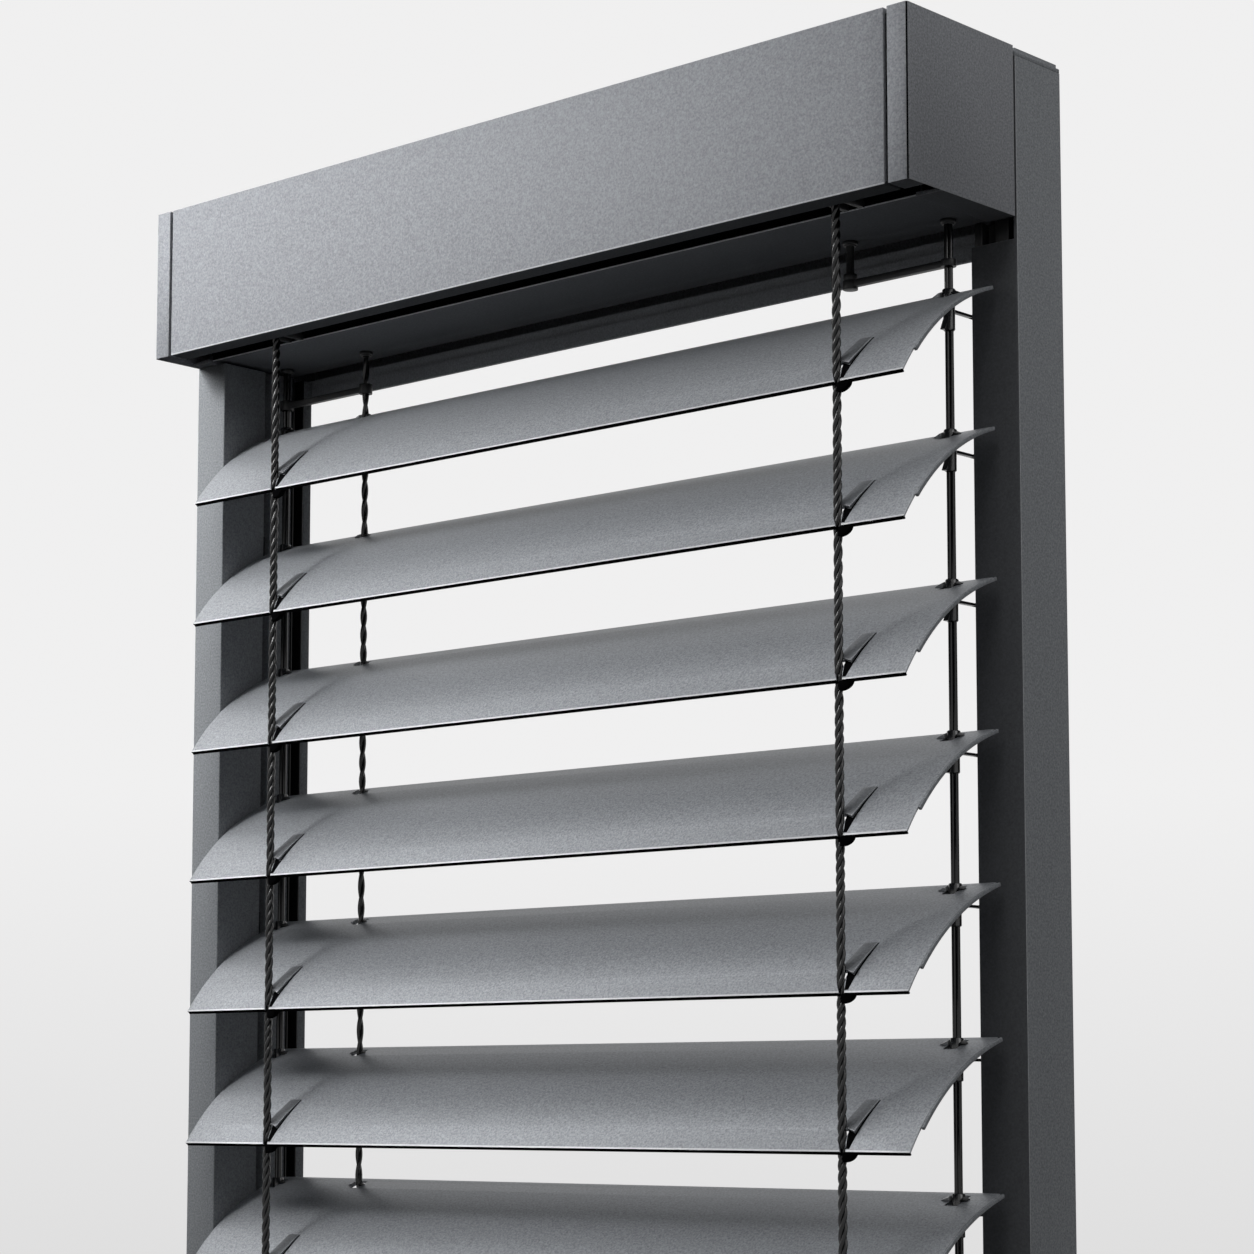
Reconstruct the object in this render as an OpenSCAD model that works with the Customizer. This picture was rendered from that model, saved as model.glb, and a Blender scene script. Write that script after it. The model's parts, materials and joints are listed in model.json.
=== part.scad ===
// External venetian blind: head box, two guide posts, tilting and lifting slats on twisted cords.
// Frame: +X to the right seen from the front, +Y towards the wall, +Z up, in millimetres.
// Origin: middle of the head box on the wall plane. Rest pose: blind down, slats tilted 36.5 degrees.

/* [Head box] */
// Width of the head box over both end caps
box_w = 484; // [460:2:560]
// Height of the head box
box_h = 76; // [72:1:88]
// Depth from the front face to the wall
box_d = 112; // [110:1:124]
// Sheet thickness of the cover and end caps
sheet_t = 2; // [1.6:0.1:2.4]
// Width of the end cap strips beside the front cover
strip_w = 10.5; // [9:0.5:12]
// Shadow gap between the front cover and each end cap
cover_gap = 1.8; // [1:0.1:2.5]
// Depth of the bottom lip of the front cover
lip_d = 11.5; // [10:0.5:13]
// Width of the inward flange under each end cap
flange_w = 14; // [11:0.5:15]

/* [Head rail] */
// Depth of the head rail, front to back
rail_d = 53; // [52:0.5:55]
// Height of the head rail
rail_h = 48; // [47:0.5:52]
// Sheet thickness of the head rail
rail_t = 1.6; // [1.2:0.1:2]
// Recess of the head rail above the bottom edge of the box
rail_recess = 1.5; // [1:0.5:3]
// Open slot between the cover lip and the head rail
slot_d = 15.5; // [15:0.5:17]

/* [Back rail] */
// Depth of the back rail
back_d = 22; // [20:0.5:24]
// Drop of the back rail below the box
back_drop = 11.3; // [9:0.1:13]
// Height of the front lip of the back rail
back_lip = 7; // [6:0.5:9]
// Thickness of the web against the wall
web_t = 3; // [2.5:0.5:4]

/* [Guide posts] */
// Width of the right post
right_w = 24.4; // [23:0.2:27]
// Front face of the right post behind the slat pivots
post_behind = 12; // [11:0.5:13]
// Width of the left post and guide rail
left_w = 20.8; // [20:0.2:21.4]
// Depth of the left front post
left_front_d = 28.2; // [25:0.2:30]
// Distance from the front face to the left front post
left_front_at = 29.3; // [28:0.1:31]
// Gap between the left front post and the left guide rail
left_gap = 4.2; // [3:0.1:5]
// Wall thickness of the posts
post_t = 1.8; // [1.5:0.1:2.2]
// Width of the guide grooves
groove_w = 7.3; // [7:0.1:8]
// Depth of the guide grooves
groove_in = 13; // [12.5:0.1:14]
// Length of the posts below the lowest pivot
post_run = 71; // [66:0.5:90]
// Height of the dark joint above the right post's front face
joint_h = 9.3; // [7:0.1:10]
// Thickness of the end plugs and the top cap
plug_t = 4; // [3:0.5:5]

/* [Slats] */
// Distance from slat to slat
slat_pitch = 65.5; // [62:0.1:68]
// Chord of a slat, edge to edge
chord = 80; // [79:0.5:81]
// Crown of a slat above its chord
crown = 7; // [6:0.25:8]
// Thickness of a slat
slat_t = 1; // [0.8:0.1:1.2]
// Slope of the chord at rest
slope = 36.5; // [34:0.5:38]
// Distance of the first pivot below the middle of the box
first_drop = 70.5; // [68:0.5:73]
// First gap between slats is smaller than the others by this much
first_short = 3.5; // [0:0.5:5]
// Distance of the pivots behind the front face
pivot_in = 66; // [65.5:0.1:66.5]
// Clearance from the box's left end to the slats
slat_left = 22; // [22:0.25:24]
// Clearance from the box's right end to the slats
slat_right = 11; // [9:0.5:14]

/* [Cords] */
// Diameter of a cord
cord_d = 3.6; // [3:0.1:4]
// Front cords behind the front face
front_cord_in = 13.7; // [13.6:0.1:14.4]
// Left front cord from the left end of the box
front_left_at = 78; // [76:1:84]
// Right front cord from the right end of the box
front_right_at = 49; // [44:1:54]
// Rear cords from the ends of the box
rear_at = 28; // [28:0.25:29]
// Second rear cord from the left end of the box
inner_left_at = 88; // [86:1:94]
// Hanger rod from the right end of the box
hanger_at = 82; // [78:1:88]
// Radius of the bend over the cord rollers
bend_r = 6; // [5.5:0.25:7]

/* [Drive] */
// Drive shaft above the floor of the head rail
shaft_up = 24; // [23:0.5:25]
// Across the corners of the hexagonal shaft
shaft_d = 9; // [8:0.2:10]
// Diameter of the motor
motor_d = 40; // [36:1:42]
// Length of the motor
motor_l = 140; // [120:5:160]
// Thickness of the bearing blocks
block_t = 8; // [6:0.5:9]

/* [Hidden] */
$fn = 64;
fine = 240;
eps = 0.2;          // shallow sink used only between shapes of one solid
run = 0.3;          // running clearance between curved faces
fit = 0.05;         // journal clearance
seat = 0.05;        // seat of the fittings on a slat's curve
slat_count = 8;     // fixed: each slat is a node of its own
n_lift = slat_count + 1;

half_w = box_w / 2;
top_z = box_h / 2;
bot_z = -top_z;
front_y = -box_d;

// head rail
rail_y0 = front_y + lip_d + slot_d;
rail_y1 = rail_y0 + rail_d;
rail_z0 = bot_z + rail_recess;
rail_z1 = rail_z0 + rail_h;
rail_half = half_w - flange_w;
shaft_y = rail_y1 - rail_d / 2;
shaft_z = rail_z0 + rail_t + shaft_up;
lug_in = 14;
lug_d = 28;
lug_h = 20;
lug_drop = 10;
bracket_x = 110;
bracket_w = 30;
bracket_leg = 12;
screw_r = 2;
screw_z = 6;
screw_head_r = 3.6;
screw_head_t = 2;
screw_tip = 0.5;
screw_clear = 0.1;
flange_clear = 3;

// back rail
back_z = bot_z - back_drop;
back_top = top_z - sheet_t;
shelf_clear = 0.2;
shelf_z = bot_z - shelf_clear - sheet_t;
band_over = 1;

// slat section
arc_r = (chord * chord / 4 + crown * crown) / (2 * crown);
function rise(s) = sqrt(arc_r * arc_r - pow(s - chord / 2, 2)) - (arc_r - crown);
function lean(s) = asin((chord / 2 - s) / arc_r);
front_to_pivot = 72;
pivot_y = front_y + pivot_in;
function pivot_z(i) = -first_drop - (i - 1) * slat_pitch + (i > 1 ? first_short : 0);
last_z = pivot_z(n_lift);
slat_x0 = -half_w + slat_left;
slat_x1 = half_w - slat_right;

// cords
cord_r = cord_d / 2;
front_cord_y = front_y + front_cord_in;
front_x = [-half_w + front_left_at, half_w - front_right_at];
outer_x = [-half_w + rear_at, half_w - rear_at];
inner_x = -half_w + inner_left_at;
hanger_x = half_w - hanger_at;
drum_r = pivot_y - shaft_y - cord_r - run;
run_z = shaft_z - drum_r - cord_r - run;
roller_y = front_cord_y + bend_r;
roller_z = run_z - bend_r;
roller_half = 2.7;
roller_pin_r = 1.2;
roller_pin_half = 5.5;
cheek_in = 3;
cheek_out = 5.5;
cheek_front = 5;
cheek_up = 6;
journal_r = shaft_d / 2 + 1.5;
hub_clear = 0.1;
spool_half = 5;
drum_half = 3.5;
flange_t = 1;
flange_h = 4;
drum_sleeve = [4.7, 3.8];
bearing_off = spool_half + flange_t + block_t / 2 + 0.5;
bearing_in = [outer_x[0] + bearing_off, inner_x + bearing_off, front_x[1] - bearing_off];
block_up = 14;
shaft_over = 8;
socket_l = 18;
socket_gap = 1;
motor_foot_in = 10;
motor_foot_l = 12;
motor_foot_w = 28;
motor_foot_top = 12;
bridge_up = 14.5;
bridge_z = pivot_z(1) + bridge_up;
bridge_h = 3;
cord_fit = 0.15;
cord_clear = 1.2;
collar_r = 3.5;
collar_t = 1.6;
collar_lip = 0.8;
collar_wall = 1;
rod_head = 3;
rod_wall = 1.3;
clamp_wall = 1.6;
clamp_over = 1;
notch_w = cord_d + 0.8;
notch_s = 12;
hole_w = 6.6;
hole_front = 6;
hole_back = 4.5;
frame_w = 10.4;
frame_lip = 0.6;
clip_w = 7;
clip_l = 27;
clip_t = 0.8;
hook_w = 5;
hook_l = 4;
hook_h = 2.8;
strip_t = 1.4;
strip_s = 12;
strip_drop = 0.6;
frame_wall = 1.2;
frame_down = 1.6;
frame_up = 2.4;
frame_rim = 0.8;
frame_rim_t = 0.8;
inner_w = 6;
inner_half = 4;
foot_w = 9;
foot_half = 6;
foot_h = 1.4;

// posts
right_d = box_d - pivot_in - post_behind;
post_z0 = last_z - post_run;
left_front_y0 = front_y + left_front_at;
left_rail_y0 = left_front_y0 + left_front_d + left_gap;
left_rail_y1 = -back_d;
left_in = -half_w + left_w;
right_in = half_w - right_w;
liner_t = 0.6;
groove_back = 5.5;
groove_front = 2;
left_groove_y = -back_d - groove_back - groove_w;
right_groove_y = -right_d + groove_front;
rail_step = 1;
rail_step_w = 5;
spacer_in = 4;
spacer_h = 16;
spacer_up = 30;
joint_blocks = [[1, 5], [11, 18]];
joint_inset = [1, 2.5];
joint_back_t = 3;
plug_inset = 0.4;
cap_inset = 1;
stand_low = 32;
stand_high = 130;
stand_z = [post_z0 + stand_low, post_z0 + stand_high];
hole_low = 62;
hole_high = 548;
post_hole_z = [post_z0 + hole_low, post_z0 + hole_high];
stand_foot_t = 4;
stand_h = 50;
stand_stem = 20;
screw_hole = 2.75;
wall_hole = 3.25;
wall_hole_x = 180;
wall_hole_z = 18;

// carriers
sleeve_r = 2.6;
ring_r = 3;
ring_h = 3;
pin_r = 0.9;
pin_in = 0.5;
arm_w = 5;
sleeve_z0 = -15.5;
arm_z0 = -8;
arm_z1 = -5.5;
shoe_z0 = -12;
shoe_z1 = -4;
shoe_d = groove_w - 2 * liner_t - 2 * run;
shoe_gap = 1.2;
wedge_w = 3;
wedge_out = 2.4;
wedge_z = -8;
wedge_root = 1;

// bottom rail
base_t = 8;
base_wall = 1.4;
base_gap = 6;
base_x = half_w - rear_at - base_gap;
base_cap_t = 1.5;
base_cap_over = 1;
base_pin_r = 2;
base_pin_l = 2;
base_drop = 1.5;
base_rise = rise(front_to_pivot) - base_drop;
base_cord_z = last_z + (base_t / 2 - base_drop) / cos(slope) + cord_r * tan(slope) + run;
base_block = 4;
base_half_h = 5;
base_bore = 1.9;
base_notch = 2;
cord_tail = 48;

grey = [0.27, 0.28, 0.30];
grey_light = [0.36, 0.37, 0.39];
grey_dark = [0.20, 0.21, 0.22];
black = [0.05, 0.05, 0.055];
metal = [0.62, 0.63, 0.65];

// a box from its two corners
module block(x, y, z) {
    translate([x[0], y[0], z[0]]) cube([x[1] - x[0], y[1] - y[0], z[1] - z[0]]);
}

// a section drawn in Y and Z, run along X from x0 to x1
module along_x(x0, x1) {
    translate([x0, 0, 0]) rotate([90, 0, 90]) linear_extrude(x1 - x0) children();
}

// a round bar along X
module bar_x(r, x0, x1, y, z, f = 64) {
    translate([x0, y, z]) rotate([0, 90, 0]) cylinder(r = r, h = x1 - x0, $fn = f);
}

// a round bar along Z
module bar_z(r, x, y, z0, z1) {
    translate([x, y, z0]) cylinder(r = r, h = z1 - z0);
}

// a round bar along Y
module bar_y(r, x, y0, y1, z) {
    translate([x, y0, z]) rotate([-90, 0, 0]) cylinder(r = r, h = y1 - y0);
}

// places a shape drawn along the chord at pivot number i
module at_pivot(i) {
    translate([0, pivot_y, pivot_z(i)]) rotate([slope, 0, 0])
        translate([0, -front_to_pivot, -rise(front_to_pivot)]) children();
}

// ring sector of the slat's curve between chord positions s0 and s1, from height a to b off the middle
module arc_band(s0, s1, a, b) {
    intersection() {
        translate([chord / 2, crown - arc_r]) difference() {
            circle(r = arc_r + b, $fn = fine);
            circle(r = arc_r + a, $fn = fine);
        }
        translate([s0, -crown]) square([s1 - s0, 4 * crown]);
    }
}

// ---------- head box ----------

module front_cover() color(grey_light) {
    difference() {
        along_x(-half_w + strip_w + cover_gap, half_w - strip_w - cover_gap) union() {
            translate([front_y, bot_z]) square([sheet_t, box_h]);
            translate([front_y, bot_z]) square([lip_d, sheet_t]);
            translate([front_y + lip_d - sheet_t, bot_z]) square([sheet_t, 3 * sheet_t]);
            translate([front_y, top_z - sheet_t]) square([box_d, sheet_t]);
        }
        // corner left free for the right post
        block([right_in - run, half_w], [-right_d - run, 1], [0, top_z + 1]);
    }
}

// end cap with its outer face at x = half_w, d deep from the front face
module end_cap(d) {
    y1 = front_y + d;
    difference() {
        union() {
            block([half_w - sheet_t, half_w], [front_y, y1], [bot_z, top_z]);
            block([half_w - strip_w, half_w], [front_y, front_y + sheet_t], [bot_z, top_z]);
            block([half_w - strip_w, half_w], [front_y, front_y + lip_d], [bot_z, bot_z + sheet_t]);
            block([half_w - strip_w, half_w], [front_y, y1], [top_z - sheet_t, top_z]);
            block([half_w - flange_w, half_w], [rail_y0 - flange_clear, y1], [bot_z, bot_z + sheet_t]);
        }
        translate([half_w, front_y, 0]) rotate([0, 0, 45])
            cube([sheet_t / 2, sheet_t / 2, 2 * box_h], center = true);
    }
}

module end_cap_right() color(grey_dark) end_cap(box_d - right_d);

module end_cap_left() color(grey_light) mirror([1, 0, 0]) end_cap(box_d);

// angle pieces that hold the end caps to the head rail
module cap_brackets() color(black) {
    for (side = [0, 1]) mirror([side, 0, 0]) {
        y1 = rail_y1 - rail_t;
        z1 = rail_z1 - lug_drop;
        block([rail_half - lug_in, half_w - sheet_t], [y1 - sheet_t, y1], [z1 - lug_h, z1]);
        block([half_w - 2 * sheet_t, half_w - sheet_t], [y1 - lug_d, y1], [z1 - lug_h, z1]);
    }
}

module back_rail() color(grey_dark) {
    difference() {
        along_x(-half_w + sheet_t, right_in) union() {
            translate([-web_t, shelf_z]) square([web_t, back_top - shelf_z]);
            translate([-back_d + sheet_t / 2, shelf_z]) square([back_d - sheet_t / 2, sheet_t]);
            translate([-back_d, back_z]) square([sheet_t, back_lip]);
            translate([-back_d + sheet_t / 2, back_z + back_lip - sheet_t])
                square([sheet_t, back_drop - back_lip + sheet_t + band_over]);
        }
        for (x = [-wall_hole_x, wall_hole_x], z = [-wall_hole_z, wall_hole_z])
            bar_y(wall_hole, x, -web_t - 1, 1, z);
        for (x = [-bracket_x, bracket_x], z = [-screw_z, screw_z])
            bar_y(screw_r + screw_clear, x, -web_t - 1, 1, z);
        // room for the left end cap's flange
        block([-half_w, -half_w + flange_w + run], [-back_d - 1, 1], [bot_z, bot_z + sheet_t]);
    }
}

// ---------- head rail and drive ----------

module head_rail() color(grey_dark) {
    difference() {
        along_x(-rail_half, rail_half) difference() {
            translate([rail_y0, rail_z0]) square([rail_d, rail_h]);
            translate([rail_y0 + rail_t, rail_z0 + rail_t]) square([rail_d - 2 * rail_t, rail_h]);
        }
        for (x = concat(outer_x, [inner_x, hanger_x]))
            bar_z(cord_r + cord_clear, x, pivot_y, rail_z0 - 1, rail_z0 + rail_t + 1);
        for (x = front_x)
            bar_y(cord_r + cord_clear, x, rail_y0 - 1, rail_y0 + rail_t + 1, run_z);
    }
}

// saddles that carry the head rail on the back rail
module rail_brackets() color(metal) {
    for (x = [-bracket_x, bracket_x]) difference() {
        w = [x - bracket_w / 2, x + bracket_w / 2];
        union() {
            block(w, [rail_y0, -web_t], [rail_z1, rail_z1 + sheet_t]);
            block(w, [-web_t - sheet_t, -web_t], [-bracket_leg, rail_z1 + sheet_t]);
            block(w, [rail_y1, rail_y1 + sheet_t], [rail_z1 - bracket_leg, rail_z1 + eps]);
            block(w, [rail_y0, rail_y0 + sheet_t], [rail_z1, top_z - sheet_t]);
        }
        for (z = [-screw_z, screw_z])
            bar_y(screw_r + screw_clear, x, -web_t - sheet_t - 1, -web_t + 1, z);
    }
}

module bracket_screws() color(metal) {
    for (x = [-bracket_x, bracket_x], z = [-screw_z, screw_z]) {
        bar_y(screw_r, x, -web_t - sheet_t - eps, -screw_tip, z);
        bar_y(screw_head_r, x, -web_t - sheet_t - screw_head_t, -web_t - sheet_t, z);
    }
}

module motor() color(metal) {
    difference() {
        union() {
            bar_x(motor_d / 2, -motor_l / 2, motor_l / 2, shaft_y, shaft_z);
            for (x = [-motor_l / 2 + motor_foot_in, motor_l / 2 - motor_foot_in - motor_foot_l])
                block([x, x + motor_foot_l], [shaft_y - motor_foot_w / 2, shaft_y + motor_foot_w / 2],
                      [rail_z0 + rail_t, shaft_z - motor_foot_top]);
        }
        bar_x(shaft_d / 2 + fit, -motor_l / 2 - 1, -motor_l / 2 + socket_l, shaft_y, shaft_z);
        bar_x(shaft_d / 2 + fit, motor_l / 2 - socket_l, motor_l / 2 + 1, shaft_y, shaft_z);
    }
}

module bearing_blocks() color(black) {
    for (x = bearing_in) difference() {
        block([x - block_t / 2, x + block_t / 2], [rail_y0 + rail_t, rail_y1 - rail_t],
              [rail_z0 + rail_t, shaft_z + block_up]);
        bar_x(journal_r + fit, x - block_t, x + block_t, shaft_y, shaft_z);
    }
}

module drive_shaft() color(metal) {
    inner = motor_l / 2 - socket_l + socket_gap;
    ends = [[outer_x[0] - shaft_over, -inner], [inner, outer_x[1] + shaft_over]];
    for (e = ends) {
        bar_x(shaft_d / 2, e[0], e[1], shaft_y, shaft_z, 6);
        for (x = bearing_in) if (x > e[0] && x < e[1])
            bar_x(journal_r, x - block_t / 2 - run, x + block_t / 2 + run, shaft_y, shaft_z);
    }
    // round sleeves under the tilt drums
    for (x = front_x) bar_x(journal_r, x - drum_sleeve[0], x + drum_sleeve[1], shaft_y, shaft_z);
}

module spool(x) {
    difference() {
        union() {
            bar_x(drum_r, x - spool_half, x + spool_half, shaft_y, shaft_z);
            for (e = [-spool_half - flange_t, spool_half])
                bar_x(drum_r + flange_h, x + e, x + e + flange_t, shaft_y, shaft_z);
        }
        bar_x(shaft_d / 2 + hub_clear, x - 2 * spool_half, x + 2 * spool_half, shaft_y, shaft_z, 6);
    }
}

module lift_spools() color(black) for (x = concat(outer_x, [inner_x])) spool(x);

module tilt_drums() color(black) {
    for (x = front_x) difference() {
        union() {
            bar_x(drum_r, x - drum_half, x + drum_half, shaft_y, shaft_z);
            bar_x(drum_r + flange_h, x - drum_half - flange_t, x - drum_half, shaft_y, shaft_z);
        }
        bar_x(journal_r + fit, x - 2 * drum_half, x + 2 * drum_half, shaft_y, shaft_z);
    }
}

module cord_rollers() color(metal) {
    for (x = front_x) {
        bar_x(bend_r - cord_r - run, x - roller_half, x + roller_half, roller_y, roller_z);
        bar_x(roller_pin_r, x - roller_pin_half, x + roller_pin_half, roller_y, roller_z);
    }
}

module roller_brackets() color(black) {
    for (x = front_x) difference() {
        for (side = [0, 1]) translate([x, 0, 0]) mirror([side, 0, 0])
            block([cheek_in, cheek_out], [roller_y - cheek_front, rail_y0], [rail_z0, run_z + cheek_up]);
        bar_x(roller_pin_r + fit, x - 2 * cheek_out, x + 2 * cheek_out, roller_y, roller_z);
    }
}

module cord_collars() color(black) {
    for (x = concat(outer_x, [inner_x, hanger_x])) difference() {
        union() {
            bar_z(collar_r, x, pivot_y, rail_z0 - collar_t, rail_z0);
            bar_z(cord_r + collar_wall, x, pivot_y, rail_z0 - collar_t - collar_lip, rail_z0 + rail_t + 1);
        }
        bar_z(cord_r + cord_fit, x, pivot_y, rail_z0 - 2 * collar_t - collar_lip, rail_z0 + rail_t + 2);
    }
}

// short rod that carries the right bridge bar
module hanger_rod() color(black) {
    z0 = bridge_z + bridge_h / 2;
    z1 = rail_z0 + rail_t + 1;
    bar_z(cord_r, hanger_x, pivot_y, z0, z1 + rod_head);
    bar_z(cord_r + rod_wall, hanger_x, pivot_y, z1, z1 + rod_head);
    bar_z(cord_r + rod_wall, hanger_x, pivot_y, z0, z0 + rod_head);
}

// bars just above the first slat that keep the rear cords apart
module bridge_bars() color(black) {
    z0 = bridge_z - bridge_h / 2;
    z1 = bridge_z + bridge_h / 2;
    depth = [pivot_y - bridge_h / 2, pivot_y + bridge_h / 2];
    difference() {
        union() {
            block([outer_x[0], inner_x], depth, [z0, z1]);
            block([hanger_x, outer_x[1]], depth, [z0, z1]);
            for (x = [outer_x[0], inner_x])
                bar_z(cord_r + clamp_wall, x, pivot_y, z0 - clamp_over, z1 + clamp_over);
            bar_z(cord_r + clamp_wall, hanger_x, pivot_y, z0 - clamp_over, z1);
            bar_z(cord_r + clamp_wall, outer_x[1], pivot_y, z0, z1);
        }
        for (x = concat(outer_x, [inner_x])) bar_z(cord_r + cord_fit, x, pivot_y, z0 - 2, z1 + 2);
    }
}

// ---------- guide posts ----------

module left_front_post() color(grey) {
    z1 = bot_z;
    difference() {
        block([-half_w, left_in], [left_front_y0, left_front_y0 + left_front_d], [post_z0, z1]);
        block([-half_w + post_t, left_in - post_t],
              [left_front_y0 + post_t, left_front_y0 + left_front_d - post_t], [post_z0 - 1, z1 + 1]);
    }
}

// a tube with a groove in the face that looks towards +X
module left_guide_rail() color(grey) {
    y0 = left_rail_y0;
    y1 = left_rail_y1;
    g0 = left_groove_y;
    g1 = g0 + groove_w;
    gx = left_in - groove_in;
    difference() {
        block([-half_w, left_in], [y0, y1], [post_z0, bot_z]);
        block([gx, left_in + 1], [g0, g1], [post_z0 - 1, bot_z + 1]);
        block([left_in - rail_step, left_in + 1], [g0 - rail_step_w, g0 + 1], [post_z0 - 1, bot_z + 1]);
        block([-half_w + post_t, gx - post_t], [y0 + post_t, y1 - post_t], [post_z0 - 1, bot_z + 1]);
        block([gx - 2 * post_t, left_in - rail_step - post_t], [y0 + post_t, g0 - post_t],
              [post_z0 - 1, bot_z + 1]);
    }
}

module right_guide_post() color(grey) {
    g0 = right_groove_y;
    g1 = g0 + groove_w;
    gx = right_in + groove_in;
    ztop = top_z - plug_t;
    zj = bot_z - joint_h;
    difference() {
        block([right_in, half_w], [-right_d, 0], [post_z0, ztop]);
        block([right_in - 1, gx], [g0, g1], [post_z0 - 1, ztop + 1]);
        block([gx + post_t, half_w - post_t], [-right_d + post_t, -post_t], [post_z0 - 1, ztop + 1]);
        block([right_in + post_t, gx + post_t + 1], [g1 + post_t, -post_t], [post_z0 - 1, ztop + 1]);
        // front face stops under the box, and the inner wall makes room for the joint blocks
        block([right_in - 1, half_w - post_t], [-right_d - 1, g1 + post_t + 1], [zj, ztop + 1]);
        for (z = post_hole_z) bar_y(screw_hole, half_w - right_w / 2, -post_t - 1, 1, z);
    }
}

// clips between the left front post and the left guide rail
module post_spacers() color(black) {
    y0 = left_front_y0 + left_front_d;
    for (z = [post_z0 + spacer_up, pivot_z(5), pivot_z(2)])
        block([-half_w + spacer_in, left_in - spacer_in], [y0, left_rail_y0],
              [z - spacer_h / 2, z + spacer_h / 2]);
}

module groove_liners() color(black) {
    z0 = post_z0;
    for (side = [0, 1]) {
        g0 = side == 0 ? left_groove_y : right_groove_y;
        z1 = side == 0 ? bot_z : bot_z - joint_h;
        xa = side == 0 ? left_in - groove_in : right_in;
        xb = side == 0 ? left_in : right_in + groove_in;
        difference() {
            block([xa, xb], [g0, g0 + groove_w], [z0, z1]);
            block([side == 0 ? xa + liner_t : xa - 1, side == 0 ? xb + 1 : xb - liner_t],
                  [g0 + liner_t, g0 + groove_w - liner_t], [z0 - 1, z1 + 1]);
        }
    }
}

// dark blocks between the right post and the end cap
module post_joint_blocks() color(black) {
    zj = bot_z - joint_h;
    y1 = right_groove_y + groove_w;
    for (k = [0, 1])
        block([right_in + joint_blocks[k][0], right_in + joint_blocks[k][1]],
              [-right_d + joint_inset[k], y1], [zj, rail_z0]);
    block([right_in + joint_blocks[0][0], half_w - post_t], [y1 - joint_back_t, y1], [zj, rail_z0]);
}

module post_plugs() color(black) {
    z1 = post_z0;
    z0 = post_z0 - plug_t;
    e = plug_inset;
    block([-half_w + e, left_in - e], [left_front_y0 + e, left_front_y0 + left_front_d - e], [z0, z1]);
    block([-half_w + e, left_in - e], [left_rail_y0 + e, left_rail_y1 - e], [z0, z1]);
    block([right_in + e, half_w - e], [-right_d + e, -e], [z0, z1]);
}

module right_post_cap() color(grey) {
    block([right_in, half_w], [-right_d, 0], [top_z - plug_t, top_z - plug_t / 2]);
    block([right_in + cap_inset, half_w - cap_inset], [-right_d + cap_inset, -cap_inset],
          [top_z - plug_t / 2 - eps, top_z]);
}

// feet that hold the left guide rail off the wall
module wall_standoffs() color(grey_dark) {
    for (z = stand_z) difference() {
        union() {
            block([-half_w, left_in], [-stand_foot_t, 0], [z - stand_h / 2, z + stand_h / 2]);
            block([-half_w, left_in], [left_rail_y1, -stand_foot_t + eps],
                  [z - stand_stem / 2, z + stand_stem / 2]);
        }
        for (s = [-1, 1])
            bar_y(screw_hole, -half_w + left_w / 2, -stand_foot_t - 1, 1, z + s * (stand_h + stand_stem) / 4);
    }
}

// ---------- cords ----------

module rear_cord(x) bar_z(cord_r, x, pivot_y, last_z, shaft_z);

module rear_cord_left() color(black) rear_cord(outer_x[0]);

module rear_cord_right() color(black) rear_cord(outer_x[1]);

module rear_cord_inner() color(black)
    bar_z(cord_r, inner_x, pivot_y, base_cord_z, shaft_z);

// up the front of the slats, over the roller and back to the tilt drum
module front_cord(x) {
    bar_z(cord_r, x, front_cord_y, last_z - cord_tail, roller_z);
    translate([x, roller_y, roller_z]) rotate([90, 0, -90])
        rotate_extrude(angle = 90) translate([bend_r, 0]) circle(r = cord_r);
    bar_y(cord_r, x, roller_y, shaft_y, run_z);
}

module front_cord_left() color(black) front_cord(front_x[0]);

module front_cord_right() color(black) front_cord(front_x[1]);

// ---------- slats ----------

// cut-out for the tilting frame around a rear cord
module frame_hole(x) {
    block([x - frame_w / 2, x + frame_w / 2],
          [front_to_pivot - hole_front - frame_wall, front_to_pivot + hole_back + frame_wall],
          [-crown, 3 * crown]);
}

// cut-out around the inner rear cord
module inner_hole() {
    block([inner_x - inner_w / 2, inner_x + inner_w / 2],
          [front_to_pivot - inner_half, front_to_pivot + inner_half], [-crown, 3 * crown]);
}

module slat(i) color(grey) {
    at_pivot(i) difference() {
        along_x(slat_x0, slat_x1) arc_band(0, chord, -slat_t / 2, slat_t / 2);
        for (x = outer_x) frame_hole(x);
        inner_hole();
        for (x = front_x) block([x - notch_w / 2, x + notch_w / 2], [-1, notch_s], [-crown, 3 * crown]);
    }
}

// frame around an outer rear cord that turns on the carrier's pins
module tilt_frame(x) {
    h = rise(front_to_pivot);
    s0 = front_to_pivot - hole_front;
    s1 = front_to_pivot + hole_back;
    difference() {
        union() {
            intersection() {
                frame_hole(x);
                along_x(x - frame_w, x + frame_w) arc_band(0, chord, -frame_down, frame_up);
            }
            along_x(x - frame_w / 2 - frame_lip, x + frame_w / 2 + frame_lip)
                arc_band(s0 - frame_wall - frame_rim, s1 + frame_wall + frame_rim,
                         slat_t / 2 + seat, slat_t / 2 + frame_rim_t);
        }
        block([x - hole_w / 2, x + hole_w / 2], [s0, s1], [-crown, 3 * crown]);
        bar_x(pin_r + fit, x - frame_w, x + frame_w, front_to_pivot, h);
    }
}

module foot() {
    difference() {
        along_x(inner_x - foot_w / 2, inner_x + foot_w / 2)
            arc_band(front_to_pivot - foot_half, front_to_pivot + foot_half,
                     slat_t / 2 + seat, slat_t / 2 + foot_h);
        inner_hole();
    }
}

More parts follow.
